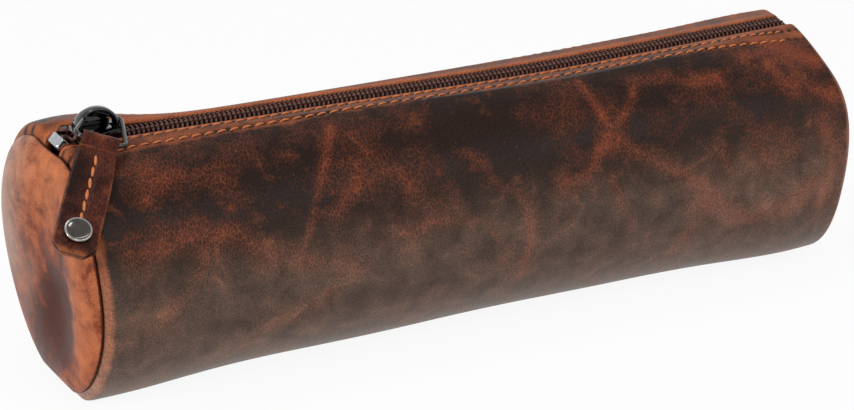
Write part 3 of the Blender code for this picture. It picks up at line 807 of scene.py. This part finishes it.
# %% [markdown]
# ## The body panel
# Now the outer and the inner sheet are placed on the skin and joined into one shell. A column
# lies at the same share of the way round in both, from one zip edge to the other. The grooves
# under the stitches press only the outer sheet.

# %% Body panel
def panel_layer(x, depth, is_outer):
    """Points of one sheet, its angle and its run from the zip edge, with folds and grooves as extra depth."""
    far = np.arcsin(mouth_half(x, "far") / (TUBE_RADIUS - depth))
    near = np.arcsin(mouth_half(x, "near") / (TUBE_RADIUS - depth))
    angle = far + columns[None, :] / whole_arc * (2 * math.pi - far - near)
    from_edge = np.minimum(columns, whole_arc - columns)[None, :]
    fold = fold_depth(from_edge)
    if not is_outer:
        return skin(x, angle, depth - fold), angle, from_edge
    groove = row_groove(x, from_edge, angle < math.pi) * ease(CURL_X - np.abs(x), 0, 0.002)
    return skin(x, angle, depth + fold + groove), angle, from_edge


(outer_x, outer_depth), (inner_x, inner_depth) = panel_lines()
outer, angle, from_edge = panel_layer(outer_x[:, None], outer_depth[:, None], True)
inner = panel_layer(inner_x[:, None], inner_depth[:, None], False)[0]
values = panel_values(outer_x[:, None], angle, from_edge)
panel = shell_piece("leather_panel", outer, inner, "tan_leather", tube_leather, values)
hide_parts("body_panel")
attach(panel, "pouch")

# %% [markdown]
# ## The round ends
# Each end is a disc of the same hide, sewn in with its edge turned inward, so it puffs out
# like a small cushion. Its profile is a superellipse with a round shoulder. The left one was
# pressed: it bulges at the back, and has a dent low down, a ridge beside it and a slanting fold.

# %% End disc shape
DISC_RADIUS = TUBE_RADIUS - 0.0022


def spot(y, z, place, reach, level, rise):
    """A round spot on the disc: a bell across times a bell upward."""
    return bell(y, place, reach) * bell(z, level, rise)


def left_marks(y, z):
    """Bulge, dent, ridge and slanting fold of the left end, in metres."""
    bulge = 0.0012 * spot(y, z, 0.012, 0.014, 0.042, 0.014)
    dent = 0.0021 * spot(y, z, -0.0084, 0.0085, 0.0225, 0.012)
    ridge = 0.0008 * spot(y, z, -0.02, 0.0045, 0.024, 0.016)
    fold = 0.0006 * spot(y + 0.6 * (z - 0.03), z, 0.006, 0.004, 0.034, 0.014)
    return bulge - dent + ridge - fold


def disc_points(side, dome, inset, turn, angle):
    """A superellipse dome over the tube's own outline, leaning with it, with the left end's marks."""
    share = (DISC_RADIUS - inset) * np.sin(turn) ** 0.6 / TUBE_RADIUS
    outline = skin(side * RIM_X, angle, 0.0)
    y = outline[..., 1] * share
    z = AXIS_HEIGHT + (outline[..., 2] - AXIS_HEIGHT) * share
    marks = left_marks(y, z) * (side < 0)
    height = (dome - FIT_GAP - inset + marks) * np.cos(turn) ** 0.9
    x = side * (RIM_X + FIT_GAP + height) + end_lean(side * RIM_X, angle) * share
    return joined(x, y, z)


print("disc:", round(DISC_RADIUS * 2000, 1), "mm across")

# %% [markdown]
# ## Making the end discs
# Rings from the middle outward give the outer sheet, the same rings back inward give the inner
# one, and a pole closes each middle. The colour values carry painted light that follows the form:
# painted shade in the dent, below it and in the seam at the edge, a painted highlight at the top
# and on the ridge, and a painted sheen towards the far side.

# %% End discs
def end_values(points, side, turns):
    """Pull, wear and painted sheen by place on the disc: spots of painted shade at the dent and of painted
    highlight on the ridge, steps for painted shade at the seam, painted highlight at the top and the sheen.
    """
    y, z = points.T[1:]
    # Painted shade: darker in the dent and in a spot below it.
    dent_shade = spot(y, z, -0.0084, 0.0085, 0.022, 0.013) + 0.6 * spot(y, z, 0.004, 0.006, 0.012, 0.01)
    # Painted shade in the seam groove at the disc's edge.
    seam_shade = ease(turns, 1.44, 1.55)
    # Painted highlight at the top of the disc.
    top = bell(y, -0.003, 0.014) * ease(z, 0.036, 0.053)
    # Painted highlight on the ridge.
    ridge = spot(y, z, -0.021, 0.006, 0.026, 0.02)
    pull_and_painted_light = 0.46 - 0.95 * dent_shade * (side < 0) - 1.2 * seam_shade + 0.3 * ridge
    wear_and_painted_light = 0.2 + 0.45 * top + 0.35 * ridge - 0.3 * dent_shade - 0.9 * seam_shade
    # Painted sheen towards the far side of the left end.
    painted_sheen = 0.6 * ease(y, 0.0, 0.022) * ease(z, 0.012, 0.03) * (side < 0)
    return {"pull_and_painted_light": pull_and_painted_light, "wear_and_painted_light": wear_and_painted_light, "painted_sheen": painted_sheen, "hide": 1.6 * joined(y, z, 0.0)}


def end_disc(name, side, dome, node_name):
    """One closed disc of leather, dome metres high at its middle, replacing this CAD node."""
    turn = np.linspace(0, math.pi / 2, 57)[1:, None]
    angle = full_turn(180)[None, :]
    outer = disc_points(side, dome, 0.0, turn, angle)
    inner = disc_points(side, dome, LEATHER, turn[::-1], angle)
    centre = np.zeros((1, 1))
    poles = np.array([disc_points(side, dome, inset, centre, centre)[0, 0] for inset in (0.0, LEATHER)])
    points = all_points(outer, inner, poles)
    faces = tube_faces(len(turn) * 2, angle.size, poles=True)
    turns = np.concatenate([np.repeat(turn, angle.size), np.repeat(turn[::-1], angle.size), [0, 0]])
    made = piece(name, points, faces, "end_leather", end_leather, end_values(points, side, turns))
    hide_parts(node_name)
    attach(made, "pouch")


end_disc("left_end", -1, 0.0036, "end_panel_left")
end_disc("right_end", 1, 0.0022, "end_panel_right")

# %% [markdown]
# ## Thread
# The thread is thick, waxed and orange. Seen close, it is a bundle of fibres, so fine noise
# runs between a dark and a light orange and also roughens the surface a little.

# %% Thread material
thread_orange, tree = new_material("thread_orange")
fibre = noise(tree, own_place(tree), 2600, 3, 0.6)
colour = colour_ramp(tree, fibre, [(0.3, (0.36, 0.095, 0.03)), (0.7, (0.68, 0.23, 0.08))])
finish_material(tree, colour, 0.6, {"Specular IOR Level": 0.3, "Normal": bumped(tree, fibre, 0.5, 0.0001)})
print("thread material made")

# %% [markdown]
# ## Stitches along the zip
# Each stitch is a short tube that dips into its needle holes at both ends and lies a little
# aslant, as a lockstitch does. The far rows are pulled a little deeper into the hide. All
# stitches of a row are worked out at once: one axis of the array counts stitches, the next
# walks along a stitch, and the skin function bends them.

# %% Stitches
STITCH_SHARE = 0.86
STITCH_SLANT = 0.00022
STITCH_DIP = 0.0005
STITCH_DEPTH = {"near": -0.00006, "far": 0.0002}
THREAD_RADIUS = 0.00025


def stitch_row(row, side):
    """Rings of one row: centres a pitch apart, each an arch that sinks at both ends and slants across."""
    pitch = STITCH_PITCH[row]
    centre = ROW_LEFT_X + pitch * (np.arange(int((ROW_RIGHT_X - ROW_LEFT_X) / pitch)) + 0.5)
    share = np.linspace(-1, 1, 7)[None, :]
    x = centre[:, None] + share * pitch * STITCH_SHARE / 2
    edge = np.arcsin(mouth_half(x, side) / TUBE_RADIUS)
    angle = edge + (row_arc(x, row, side == "far") - STITCH_SLANT * share) / TUBE_RADIUS
    angle = 2 * math.pi - angle if side == "near" else angle
    path = skin(x, angle, STITCH_DIP * share**4 + STITCH_DEPTH[side])
    return thread_rings(path, THREAD_RADIUS, 1.06, share, 6)


for side in ("near", "far"):
    rings = np.concatenate([stitch_row(row, side) for row in range(2)])
    stitches = piece("stitches_" + side, *many_tubes(rings), "tan_leather", thread_orange)
    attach(stitches, "pouch")

# %% [markdown]
# ## The path of the zip
# The tapes lie flat under the hide's edges and carry the two coils. At the slider's end the
# zip rises a little and bends down over the rim. One function places a point given its run
# along the zip, its distance across and its rise above the tape, and everything goes through it.

# %% Zip path
TAPE_TOP = TOP_HEIGHT - LEATHER - FIT_GAP
ZIP_BEND_X = -0.0969
ZIP_BEND_RADIUS = 0.0006
ZIP_BEND_ANGLE = math.radians(48)
ZIP_LEFT_X = ZIP_BEND_X - ZIP_BEND_RADIUS * ZIP_BEND_ANGLE - 0.003
ZIP_RIGHT_X = 0.0992
ZIP_LIFT = 0.0023
ZIP_LIFT_X = -0.0942


def zip_place(x, y, rise):
    """Straight run, an arc of the bend radius, a straight tail; plus the lift, less the top's sag."""
    past = np.maximum(ZIP_BEND_X - x, 0)
    angle = np.minimum(past / ZIP_BEND_RADIUS, ZIP_BEND_ANGLE)
    tail = past - angle * ZIP_BEND_RADIUS
    reach = ZIP_BEND_RADIUS + rise
    along = np.maximum(x, ZIP_BEND_X) - reach * np.sin(angle) - tail * np.cos(angle)
    level = TAPE_TOP - ZIP_BEND_RADIUS - top_sag(x) + ZIP_LIFT * ease(x, ZIP_LIFT_X, ZIP_BEND_X)
    height = level + reach * np.cos(angle) - tail * np.sin(angle)
    return joined(along, y, height)


print("zip:", round(1000 * (ZIP_RIGHT_X - ZIP_LEFT_X), 1), "mm long")

# %% [markdown]
# ## Woven tape
# Zip tape is a tight herringbone of dark polyester. Slanted bands with a little distortion
# stand for its ribs and give it two tones. Fine noise for the fuzz of the yarn is added to their
# height.

# %% Tape material
tape_weave, tree = new_material("tape_weave")
place = own_place(tree)
ribs = node(tree, "TexWave", {"Vector": place, "Scale": 420, "Distortion": 0.6}, bands_direction="DIAGONAL")
ribs = ribs.outputs["Fac"]
colour = colour_ramp(tree, ribs, [(0.0, (0.018, 0.007, 0.005)), (1.0, (0.06, 0.02, 0.013))])
height = maths(tree, "MULTIPLY_ADD", noise(tree, place, 1800, 3), 0.6, ribs)
finish_material(tree, colour, 0.85, {"Specular IOR Level": 0.2, "Normal": bumped(tree, height, 0.6, 0.00015)})
print("tape material made")

# %% [markdown]
# ## The tapes
# A tape is a thin shell that lies against the underside of the hide, level under the flat top
# and following the circle further out. It narrows at both ends, where the zip was trimmed.

# %% Tapes
TAPE_THICK = 0.0006
TAPE_WIDE, TAPE_NARROW, TAPE_INNER = 0.012, 0.003, 0.0016
TAPE_RUNS = [(ZIP_LEFT_X, ZIP_BEND_X, 16), (-0.0965, 0.094, 160), (0.0945, ZIP_RIGHT_X, 10)]


def tape_layer(side, depth):
    """A strip across the zip at this depth under the skin: a line across, narrowed by smooth steps."""
    x = np.concatenate([np.linspace(*run) for run in TAPE_RUNS])[:, None]
    narrow = np.maximum(ease(x, -0.0915, -0.0945), ease(x, 0.0935, 0.0965))
    outer = TAPE_WIDE + (TAPE_NARROW - TAPE_WIDE) * narrow
    y = TAPE_INNER + (outer - TAPE_INNER) * np.linspace(0, 1, 14)[None, :]
    under_hide = skin(x, side * np.arcsin(y / TUBE_RADIUS), depth)[..., 2] + top_sag(x)
    return zip_place(x, side * y, np.minimum(under_hide, TOP_HEIGHT - depth) - TAPE_TOP)


for side, name in ((-1, "near"), (1, "far")):
    upper = tape_layer(side, LEATHER + FIT_GAP)
    lower = tape_layer(side, LEATHER + FIT_GAP + TAPE_THICK)
    tape = shell_piece("tape_" + name, upper, lower, "tape_fabric", tape_weave)
    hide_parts("zip_tape_" + name)
    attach(tape, "pouch")

# %% [markdown]
# ## Coils
# Each side of the chain is one nylon wire wound in flattened turns and sewn to its tape. A
# straight row of rings would look like a spring. The real turn is a loop squashed flat, so
# its two waves are raised to a power below one. The turns of one side sit in the gaps of the
# other, and at the slider's neck the two sides part.

# %% Coil material and path
coil_nylon, tree = new_material("coil_nylon")
haze = noise(tree, own_place(tree), 900)
colour = colour_ramp(tree, haze, [(0.3, (0.04, 0.013, 0.008)), (0.7, (0.12, 0.04, 0.024))])
finish_material(tree, colour, 0.42, {"Specular IOR Level": 0.3})

COIL_PITCH = 0.0012
COIL_WIRE = 0.00026
COIL_BACK, COIL_HEAD = 0.00265, 0.00015
COIL_MIDDLE_RISE, COIL_RISE = 0.0013, 0.00078
NECK_PUSH = 0.00165
TURN_POINTS = 14
coil_turns = int((ZIP_RIGHT_X - ZIP_LEFT_X - COIL_PITCH) / COIL_PITCH)


def coil_path(start):
    """A flattened helix: across and rise are a cosine and a sine, each squared off."""
    share = np.arange(coil_turns * TURN_POINTS) / TURN_POINTS
    across = squared(np.cos(2 * math.pi * share), 0.7)
    rise = squared(np.sin(2 * math.pi * share), 0.85)
    middle, reach = (COIL_BACK - COIL_HEAD) / 2, (COIL_BACK + COIL_HEAD) / 2
    run = ZIP_LEFT_X + start + COIL_PITCH * share
    return joined(run, middle + reach * across, COIL_MIDDLE_RISE + COIL_RISE * rise)


def wound(points, side):
    """Sends straight points through the zip path, with a hump outward where the slider's neck stands."""
    x, across, rise = np.moveaxis(points, -1, 0)
    parted = NECK_PUSH * ease(x, -0.0983, -0.0959) * ease(x, -0.0881, -0.093)
    return zip_place(x, side * (across + parted), rise)


print("turns of each coil:", coil_turns)

# %% [markdown]
# ## Winding the coils
# The wire and the sewing thread over its back are made straight and then sent through the zip
# path, which bends, lifts and sags them together.

# %% Coils and their threads
TIE_ACROSS, TIE_SLANT = 0.0019, 0.0001
TIE_RADIUS, TIE_BITE = 0.0002, 0.00004


def tie_rings(start):
    """Sewing thread over the coil's back: one short tube for each turn, a parabola over the wire."""
    centre = ZIP_LEFT_X + start + COIL_PITCH * (np.arange(coil_turns) + 0.25)
    share = np.linspace(-1, 1, 5)[None, :]
    x = centre[:, None] + share * COIL_PITCH / 2
    rise = COIL_MIDDLE_RISE + COIL_RISE + COIL_WIRE - TIE_BITE - STITCH_DIP * share**2
    return thread_rings(joined(x, TIE_ACROSS + TIE_SLANT * share, rise), TIE_RADIUS, 1.08, share, 6)


for side, name, start in ((-1, "near", 0.0), (1, "far", COIL_PITCH / 2)):
    wire = swept_rings(coil_path(start), COIL_WIRE, 6, hint=(1.0, 0.0, 0.0))
    coil = tube_piece("coil_" + name, wound(wire, side), "coil_plastic", coil_nylon)
    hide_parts("zip_coil_" + name)
    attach(coil, "pouch")
    ties = many_tubes(wound(tie_rings(start), side))
    tie = piece("coil_thread_" + name, *ties, "tape_fabric", tape_weave)
    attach(tie, "pouch")

# %% [markdown]
# ## Plated metal
# Slider, bail and ring are plated black, clamp and rivet are steel, the rivet's face a dark one.
# A plated surface is never one even tone, so noise varies its gloss, and a fine bump breaks
# the reflections. A thin clear coat adds the white glints that make black plating look wet.

# %% Metal
def metal_material(name, colour, roughness, coat):
    """A metal of this colour and gloss, both moved a little by noise, under a clear coat."""
    made, tree = new_material(name)
    haze = noise(tree, own_place(tree), 700, 4, 0.6)
    gloss = remap(tree, haze, 0.0, 1.0, roughness - 0.03, roughness + 0.06)
    tints = [(place, [share * part for part in colour]) for place, share in ((0.3, 0.8), (0.7, 1.15))]
    inputs = {"Metallic": 1.0, "Coat Weight": coat, "Coat Roughness": 0.05}
    inputs["Normal"] = bumped(tree, haze, 0.06, 0.0001)
    finish_material(tree, colour_ramp(tree, haze, tints), gloss, inputs)
    return made


black_nickel = metal_material("black_nickel", (0.014, 0.014, 0.015), 0.07, 0.6)
clamp_steel = metal_material("clamp_steel", (0.4, 0.42, 0.44), 0.18, 0.2)
rivet_steel = metal_material("rivet_steel", (0.3, 0.28, 0.26), 0.16, 0.2)
rivet_dark = metal_material("rivet_dark", (0.055, 0.05, 0.046), 0.13, 0.3)
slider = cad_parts["slider_body"]
slider.data.materials.clear()
slider.data.materials.append(black_nickel)
print("metals: black, clamp and rivet")

# %% [markdown]
# ## The bail
# The bail is the bridge that the ring passes under. It is cast, so its section is a rounded
# bar that grows wider towards its feet. It is carried along half an ellipse, from one foot in
# the slider's plate to the other.

# %% Bail
SLIDER_X = -0.0907
PLATE_TOP = 0.0614
BAIL_X = SLIDER_X + 0.0003
BAIL_HALF_LENGTH, BAIL_HEIGHT = 0.0047, 0.0048
BAIL_HALF_WIDTH, FOOT_SPREAD = 0.0013, 0.0006
BAIL_HALF_THICK = 0.00052
FOOT_DEPTH = 0.0003


def rounded_section(sides, power):
    """Across and up round a superellipse: the cosine and sine of a full turn, each squared off."""
    turn = full_turn(sides)
    return squared(np.cos(turn), power), squared(np.sin(turn), power)


def bail_rings():
    """Half an ellipse in the X-Z plane with short feet; the section is a superellipse, wider at the feet."""
    turn = np.linspace(0, math.pi, 41)
    along, height = -BAIL_HALF_LENGTH * np.cos(turn), BAIL_HEIGHT * np.sin(turn) ** 0.85
    path = joined(BAIL_X + along, 0.0, PLATE_TOP + height - FOOT_DEPTH)[:, None]
    ahead = unit(np.gradient(path, axis=0))
    outward = joined(-ahead[..., 2], 0.0, ahead[..., 0])
    wide, thick = rounded_section(20, 0.7)
    half_width = (BAIL_HALF_WIDTH + FOOT_SPREAD * np.cos(turn) ** 2)[:, None]
    return path + joined(0.0, half_width * wide, 0.0) + BAIL_HALF_THICK * thick[:, None] * outward


bail = tube_piece("bail_bridge", bail_rings(), "bail_metal", black_nickel)
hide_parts("slider_bail")
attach(bail, "slider")

# %% [markdown]
# ## The slider's crown
# Behind the bail the slider's cover rises into a low round crown. It is a quarter of a
# superellipse turned round and squashed, and it gives the dark gloss seen through the bail.

# %% Crown
CROWN_MIDDLE = np.array([SLIDER_X, 0.003, PLATE_TOP - 0.0002])
CROWN_REACH = np.array([0.0046, 0.00135, 0.0027])
CROWN_RINGS, CROWN_SIDES = 13, 36


def crown_points():
    """Rings whose size is a cosine and whose height is a sine of one turn, both squared off by a power."""
    turn = np.linspace(0, math.pi / 2, CROWN_RINGS + 1)[:-1, None]
    angle = full_turn(CROWN_SIDES)[None, :]
    size, height = np.cos(turn) ** 0.55, np.sin(turn) ** 0.8
    rings = joined(size * np.cos(angle), size * np.sin(angle), height)
    return CROWN_MIDDLE + CROWN_REACH * all_points(rings, [[0, 0, 0], [0, 0, 1.0]])


crown_faces = tube_faces(CROWN_RINGS, CROWN_SIDES, poles=True)
crown = piece("slider_crown", crown_points(), crown_faces, "slider_metal", black_nickel)
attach(crown, "slider")

# %% [markdown]
# ## The end clamp
# A folded strip of steel grips both tapes at the zip's end. As a rounded bar across the zip it
# is made straight, a superellipse section with slightly smaller ends, and bent over the rim by
# the zip path, so that its top catches the sky and its near end the lamp.

# %% Clamp
CLAMP_START = ZIP_LEFT_X + 0.00005
CLAMP_LENGTH, CLAMP_HALF_WIDTH, CLAMP_HALF_THICK = 0.0026, 0.003, 0.00145
CLAMP_RISE = 0.0014
CLAMP_SHARES = np.array([0, 0.03, 0.09, 0.3, 0.7, 0.91, 0.97, 1])[:, None]
CLAMP_SIZES = np.array([0.86, 0.95, 1, 1, 1, 1, 0.95, 0.86])[:, None]


def clamp_rings():
    """Sections along the zip's tail: half width and rise of a superellipse, drawn in at both ends."""
    across, rise = rounded_section(28, 0.35)
    across, rise = CLAMP_HALF_WIDTH * CLAMP_SIZES * across, CLAMP_HALF_THICK * CLAMP_SIZES * rise
    return zip_place(CLAMP_START + CLAMP_LENGTH * CLAMP_SHARES, across, CLAMP_RISE + rise)


clamp = tube_piece("end_clamp", clamp_rings(), "clamp_metal", clamp_steel)
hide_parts("zip_end_clamp")
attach(clamp, "pouch")

# %% [markdown]
# ## A frame for ring and tab
# The ring's straight bar lies aslant, and the tab hangs from it down over the tube. Working in
# their own directions is far easier: across the tab, down it, and out of its face. The three
# unit vectors below turn such places into places on the pouch.

# %% Tab frame
BAR_TURN = math.radians(30)
TAB_SLOPE = math.radians(38)
RING_SLOPE = math.radians(13.8)
SIDE_SHIFT = 0.002
DOWN_SHIFT = 0.0005
BAR_PLACE = np.array([SLIDER_X - 0.00084, -0.01108, 0.0616])
slope = np.array([0, math.cos(TAB_SLOPE), math.sin(TAB_SLOPE)])
along_x = np.array([1, 0, 0])
across = math.cos(BAR_TURN) * along_x - math.sin(BAR_TURN) * slope
down = -math.sin(BAR_TURN) * along_x - math.cos(BAR_TURN) * slope
face = np.cross(down, across)
bar_middle = BAR_PLACE - SIDE_SHIFT * across + DOWN_SHIFT * down
rising = np.array([0, math.cos(RING_SLOPE), math.sin(RING_SLOPE)])
up_ring = unit(rising - rising @ across * across)


def on_tab(local):
    """A point given across the tab, down it and out of its face, in the pouch's own frame."""
    return bar_middle + local[..., :1] * across + local[..., 1:2] * down + local[..., 2:3] * face


print("tab slopes", round(math.degrees(TAB_SLOPE)), "degrees")

# %% [markdown]
# ## The wire ring
# The ring is a loop of round wire: a trapezoid whose corners are arcs that touch both of their
# sides. It passes under the bail once, and its longer bar carries the tab.

# %% Ring
RING_WIRE = 0.00055
RING_CORNERS = np.array([
    [0.0061, 0, 0.0021], [0.0036, 0.0142, 0.0028], [-0.0036, 0.0142, 0.0028], [-0.0061, 0, 0.0021]
])


def ring_loop():
    """Each corner is an arc of its radius whose middle lies on the line that halves the corner's angle."""
    path = []
    for index, (x, y, radius) in enumerate(RING_CORNERS):
        corner = np.array([x, y])
        to_last = unit(RING_CORNERS[index - 1][:2] - corner)
        to_next = unit(RING_CORNERS[(index + 1) % 4][:2] - corner)
        half = math.acos(to_last @ to_next) / 2
        middle = corner + unit(to_last + to_next) * radius / math.sin(half)
        from_middle = corner + to_last * radius / math.tan(half) - middle
        start = math.atan2(from_middle[1], from_middle[0])
        turn = np.linspace(start, start + math.pi - 2 * half, 16)
        path.append(middle + radius * joined(np.cos(turn), np.sin(turn)))
    return np.concatenate(path)


loop = ring_loop()
loop_points = bar_middle + loop[:, :1] * across + loop[:, 1:] * up_ring
wire = swept_rings(loop_points, RING_WIRE, 16, loop=True, hint=np.cross(across, up_ring))
ring = tube_piece("wire_ring", wire, "ring_metal", black_nickel, loop=True)
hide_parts("pull_ring")
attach(ring, "ring")

# %% [markdown]
# ## The strap of the tab
# The tab is one strip of hide folded round the bar, with both layers sewn and riveted
# together. We follow the strip: up the front layer, half round the fold, down the back. Across
# it the points crowd towards the cut edges, which are rounded off. The hide is skived thin
# inside the fold, as a maker does it, and that leaves the bar room to turn.

# %% Tab strap
TAB_LENGTH = 0.0311
TAB_LAYER = 0.001
TAB_CHAMFER = 0.0022
TAB_TOP_HALF, TAB_HALF = 0.00425, 0.005
LAYER_GAP = 0.0003
FOLD_REACH = 0.0045
SKIVED = 0.0007
CUT_STEPS = np.array([0, 0.0001, 0.0003, 0.0007, 0.0012, 0.0017, TAB_CHAMFER])
OUTER_ROUNDING, INNER_ROUNDING = 0.0003, -0.0002
SEAM_DEPTH = 0.00016
BAR_SEAM = 0.003


def strap_run(offset):
    """Run down the tab and rise out of it along the strip, with the direction of its face, at this offset."""
    layer = (LAYER_GAP + TAB_LAYER) / 2 + offset
    fold = RING_WIRE + FIT_GAP / 2 + TAB_LAYER / 2 + offset + SKIVED * (offset < 0)
    turn = np.linspace(math.pi / 2, 3 * math.pi / 2, 25)
    wide, close = np.linspace(TAB_LENGTH - 0.003, FOLD_REACH, 44), np.linspace(0.004, 0.0004, 8)
    steps = np.concatenate([TAB_LENGTH - CUT_STEPS, wide, close])
    level = layer + (fold - layer) * ease(steps, FOLD_REACH, 0.0)
    run = np.concatenate([steps, fold * np.cos(turn), steps[::-1]])
    rise = np.concatenate([level, fold * np.sin(turn), -level[::-1]])
    flat = np.ones(len(steps))
    down_part = np.concatenate([0 * flat, np.cos(turn), 0 * flat])
    face_part = np.concatenate([flat, np.sin(turn), -flat])
    return [part[:, None] for part in (run, rise, down_part, face_part)]


def strap(offset, rounding, seam_depth):
    """The strip as a grid: its half width eases and is chamfered; edges and seam sink along its face."""
    run, rise, down_part, face_part = strap_run(offset)
    place = np.clip(run, 0, TAB_LENGTH)
    half = TAB_TOP_HALF + (TAB_HALF - TAB_TOP_HALF) * ease(place, 0, TAB_LENGTH / 2)
    half = half - TAB_CHAMFER * np.clip((place - TAB_LENGTH + TAB_CHAMFER) / TAB_CHAMFER, 0, 1)
    share = np.sin(np.linspace(-math.pi / 2, math.pi / 2, 31))[None, :]
    beyond = np.clip((np.abs(share) - 0.86) / 0.14, 0, 1)
    fall = rounding * (1 - np.sqrt(1 - beyond**2)) + seam_depth * bell(share * half, 0, 0.0007)
    fall = fall + seam_depth * 0.3 * bell(place, BAR_SEAM, 0.0004)
    return joined(share * half, run - fall * down_part, rise - fall * face_part)


outer = strap(TAB_LAYER / 2, OUTER_ROUNDING, SEAM_DEPTH)
inner = strap(-TAB_LAYER / 2, INNER_ROUNDING, 0.0)
print("rows along the strip:", len(outer))

# %% [markdown]
# ## Making the tab
# The tab's hide is darker and glossier than the tube's, from all the hands that pulled it. Its
# cut edges are worn light, and the fold and the line under the bar a little too.

# %% Tab
TAB_COLOURS = (0.013, 0.003, 0.002), (0.046, 0.009, 0.005), (0.13, 0.023, 0.009), (0.3, 0.085, 0.03)
tab_leather = leather_material("tab_leather_look", TAB_COLOURS, 0.27, 0.22, 0.1, 0.0)
local = all_points(outer, inner)
sideways, run = local.T[:2]
side_edge = ease(np.abs(sideways), 0.0042, TAB_HALF)
low_edge = ease(run, TAB_LENGTH - 0.0012, TAB_LENGTH)
crease = 0.9 * bell(run, BAR_SEAM, 0.0004) + 0.3 * ease(run, 0.0006, -0.0006)
values = {
    "pull_and_painted_light": 0.1 + 0.4 * ease(run, 0.016, 0.002) + 0.2 * bell(sideways, 0, 0.001),
    "wear_and_painted_light": 0.5 * (side_edge + low_edge + crease),
    "hide": local + (0.4, 0.2, 0.0),
}
tab = shell_piece("leather_tab", on_tab(outer), on_tab(inner), "tab_leather", tab_leather, values)
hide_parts("pull_tab")
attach(tab, "tab")

# %% [markdown]
# ## Stitches of the tab
# Six thick stitches run down the middle. They are made like those along the zip, but in the
# tab's own directions: each is an arch out of the face, sinking at both ends and lying aslant.

# %% Tab stitches
TAB_FACE = LAYER_GAP / 2 + TAB_LAYER
TAB_STITCHES = 6
FIRST_STITCH, TAB_STITCH_PITCH, TAB_STITCH_HALF = 0.0061, 0.00315, 0.00148
TAB_STITCH_SLANT, TAB_STITCH_DEPTH = 0.00024, 0.00006
TAB_THREAD_RADIUS = 0.00035
number = np.arange(TAB_STITCHES)[:, None]
share = np.linspace(-1, 1, 11)[None, :]
sideways = TAB_STITCH_SLANT * share * np.where(number % 2, 0.6, 1.0)
run = FIRST_STITCH + TAB_STITCH_PITCH * number + TAB_STITCH_HALF * share
rise = TAB_FACE - TAB_STITCH_DEPTH - STITCH_DIP * share**4
rings = thread_rings(joined(sideways, run, rise), TAB_THREAD_RADIUS, 1.05, share, 10)
points, faces = many_tubes(rings)
tab_stitches = piece("tab_stitches", on_tab(points), faces, "tab_leather", thread_orange)
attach(tab_stitches, "tab")

# %% [markdown]
# ## The rivet
# A tubular rivet holds the lower end: a low dome in front, a smaller flat head behind and a
# stem through both layers. Each is turned on the rivet's axis from a profile. The front has a
# dark face inside a bright rim, so it is made of two turned pieces.

# %% Rivet
RIVET_DISTANCE = 0.0256
RIVET_LOW = TAB_FACE + 0.00003
RIM_RADIUS, RIM_WIDTH, RIM_HEIGHT = 0.00285, 0.0003, 0.00042
RIM_RISE, RIM_TOP = 0.0005, 0.0009
DOME_RADIUS, DOME_HEIGHT = 0.00282, 0.00065
DOME_LOW, DOME_RISE = 0.0006, 0.0007


def turned(profile, sides=56):
    """A profile of radius and height, first and last point on the axis, carried round the rivet's axis."""
    profile = np.array(profile)
    angle = full_turn(sides)[None, :]
    radius, height = profile[1:-1, :1], profile[1:-1, 1:]
    rings = joined(radius * np.cos(angle), RIVET_DISTANCE + radius * np.sin(angle), height)
    poles = [[0, RIVET_DISTANCE, profile[end, 1]] for end in (0, -1)]
    return on_tab(all_points(rings, poles)), tube_faces(len(profile) - 2, sides, poles=True)


turn = np.linspace(-math.pi / 2, math.pi / 2, 13)
rim = joined(RIM_RADIUS + RIM_WIDTH * np.cos(turn), RIVET_LOW + RIM_RISE + RIM_HEIGHT * np.sin(turn))
rim = turned([(0, RIVET_LOW), *rim.tolist(), (0, RIVET_LOW + RIM_TOP)])
cap = piece("rivet_rim", *rim, "rivet_metal", rivet_steel)
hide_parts("rivet_cap")
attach(cap, "tab")
turn = np.linspace(0.0, math.pi / 2, 12)[:-1]
dome = joined(DOME_RADIUS * np.cos(turn), RIVET_LOW + DOME_RISE + DOME_HEIGHT * np.sin(turn))
dome = turned([(0, RIVET_LOW + DOME_LOW), *dome.tolist(), (0, RIVET_LOW + DOME_RISE + DOME_HEIGHT)])
dome = piece("rivet_face", *dome, "rivet_metal", rivet_dark)
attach(dome, "tab")

# %% [markdown]
# ## The rivet's back
# Stem and back head are one turned piece: a thin post through the strap, and a flat head with
# a rounded edge pressed on the back layer.

# %% Rivet back
STEM_RADIUS = 0.0011
HEAD_RADIUS, HEAD_FLAT, HEAD_ROUND = 0.0029, 0.00035, 0.00025
turn = np.linspace(0, math.pi / 2, 7)
edge = HEAD_ROUND * joined(np.cos(turn) - 1, -np.sin(turn)) + (HEAD_RADIUS, -TAB_FACE - HEAD_FLAT)
profile = [(0, RIVET_LOW), (STEM_RADIUS, RIVET_LOW), (STEM_RADIUS, -TAB_FACE)]
profile += [(HEAD_RADIUS, -TAB_FACE - 0.00003), *edge.tolist(), (0, -TAB_FACE - HEAD_FLAT - HEAD_ROUND)]
back_head = piece("rivet_back", *turned(profile), "rivet_metal", rivet_steel)
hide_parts("rivet_post")
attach(back_head, "tab")
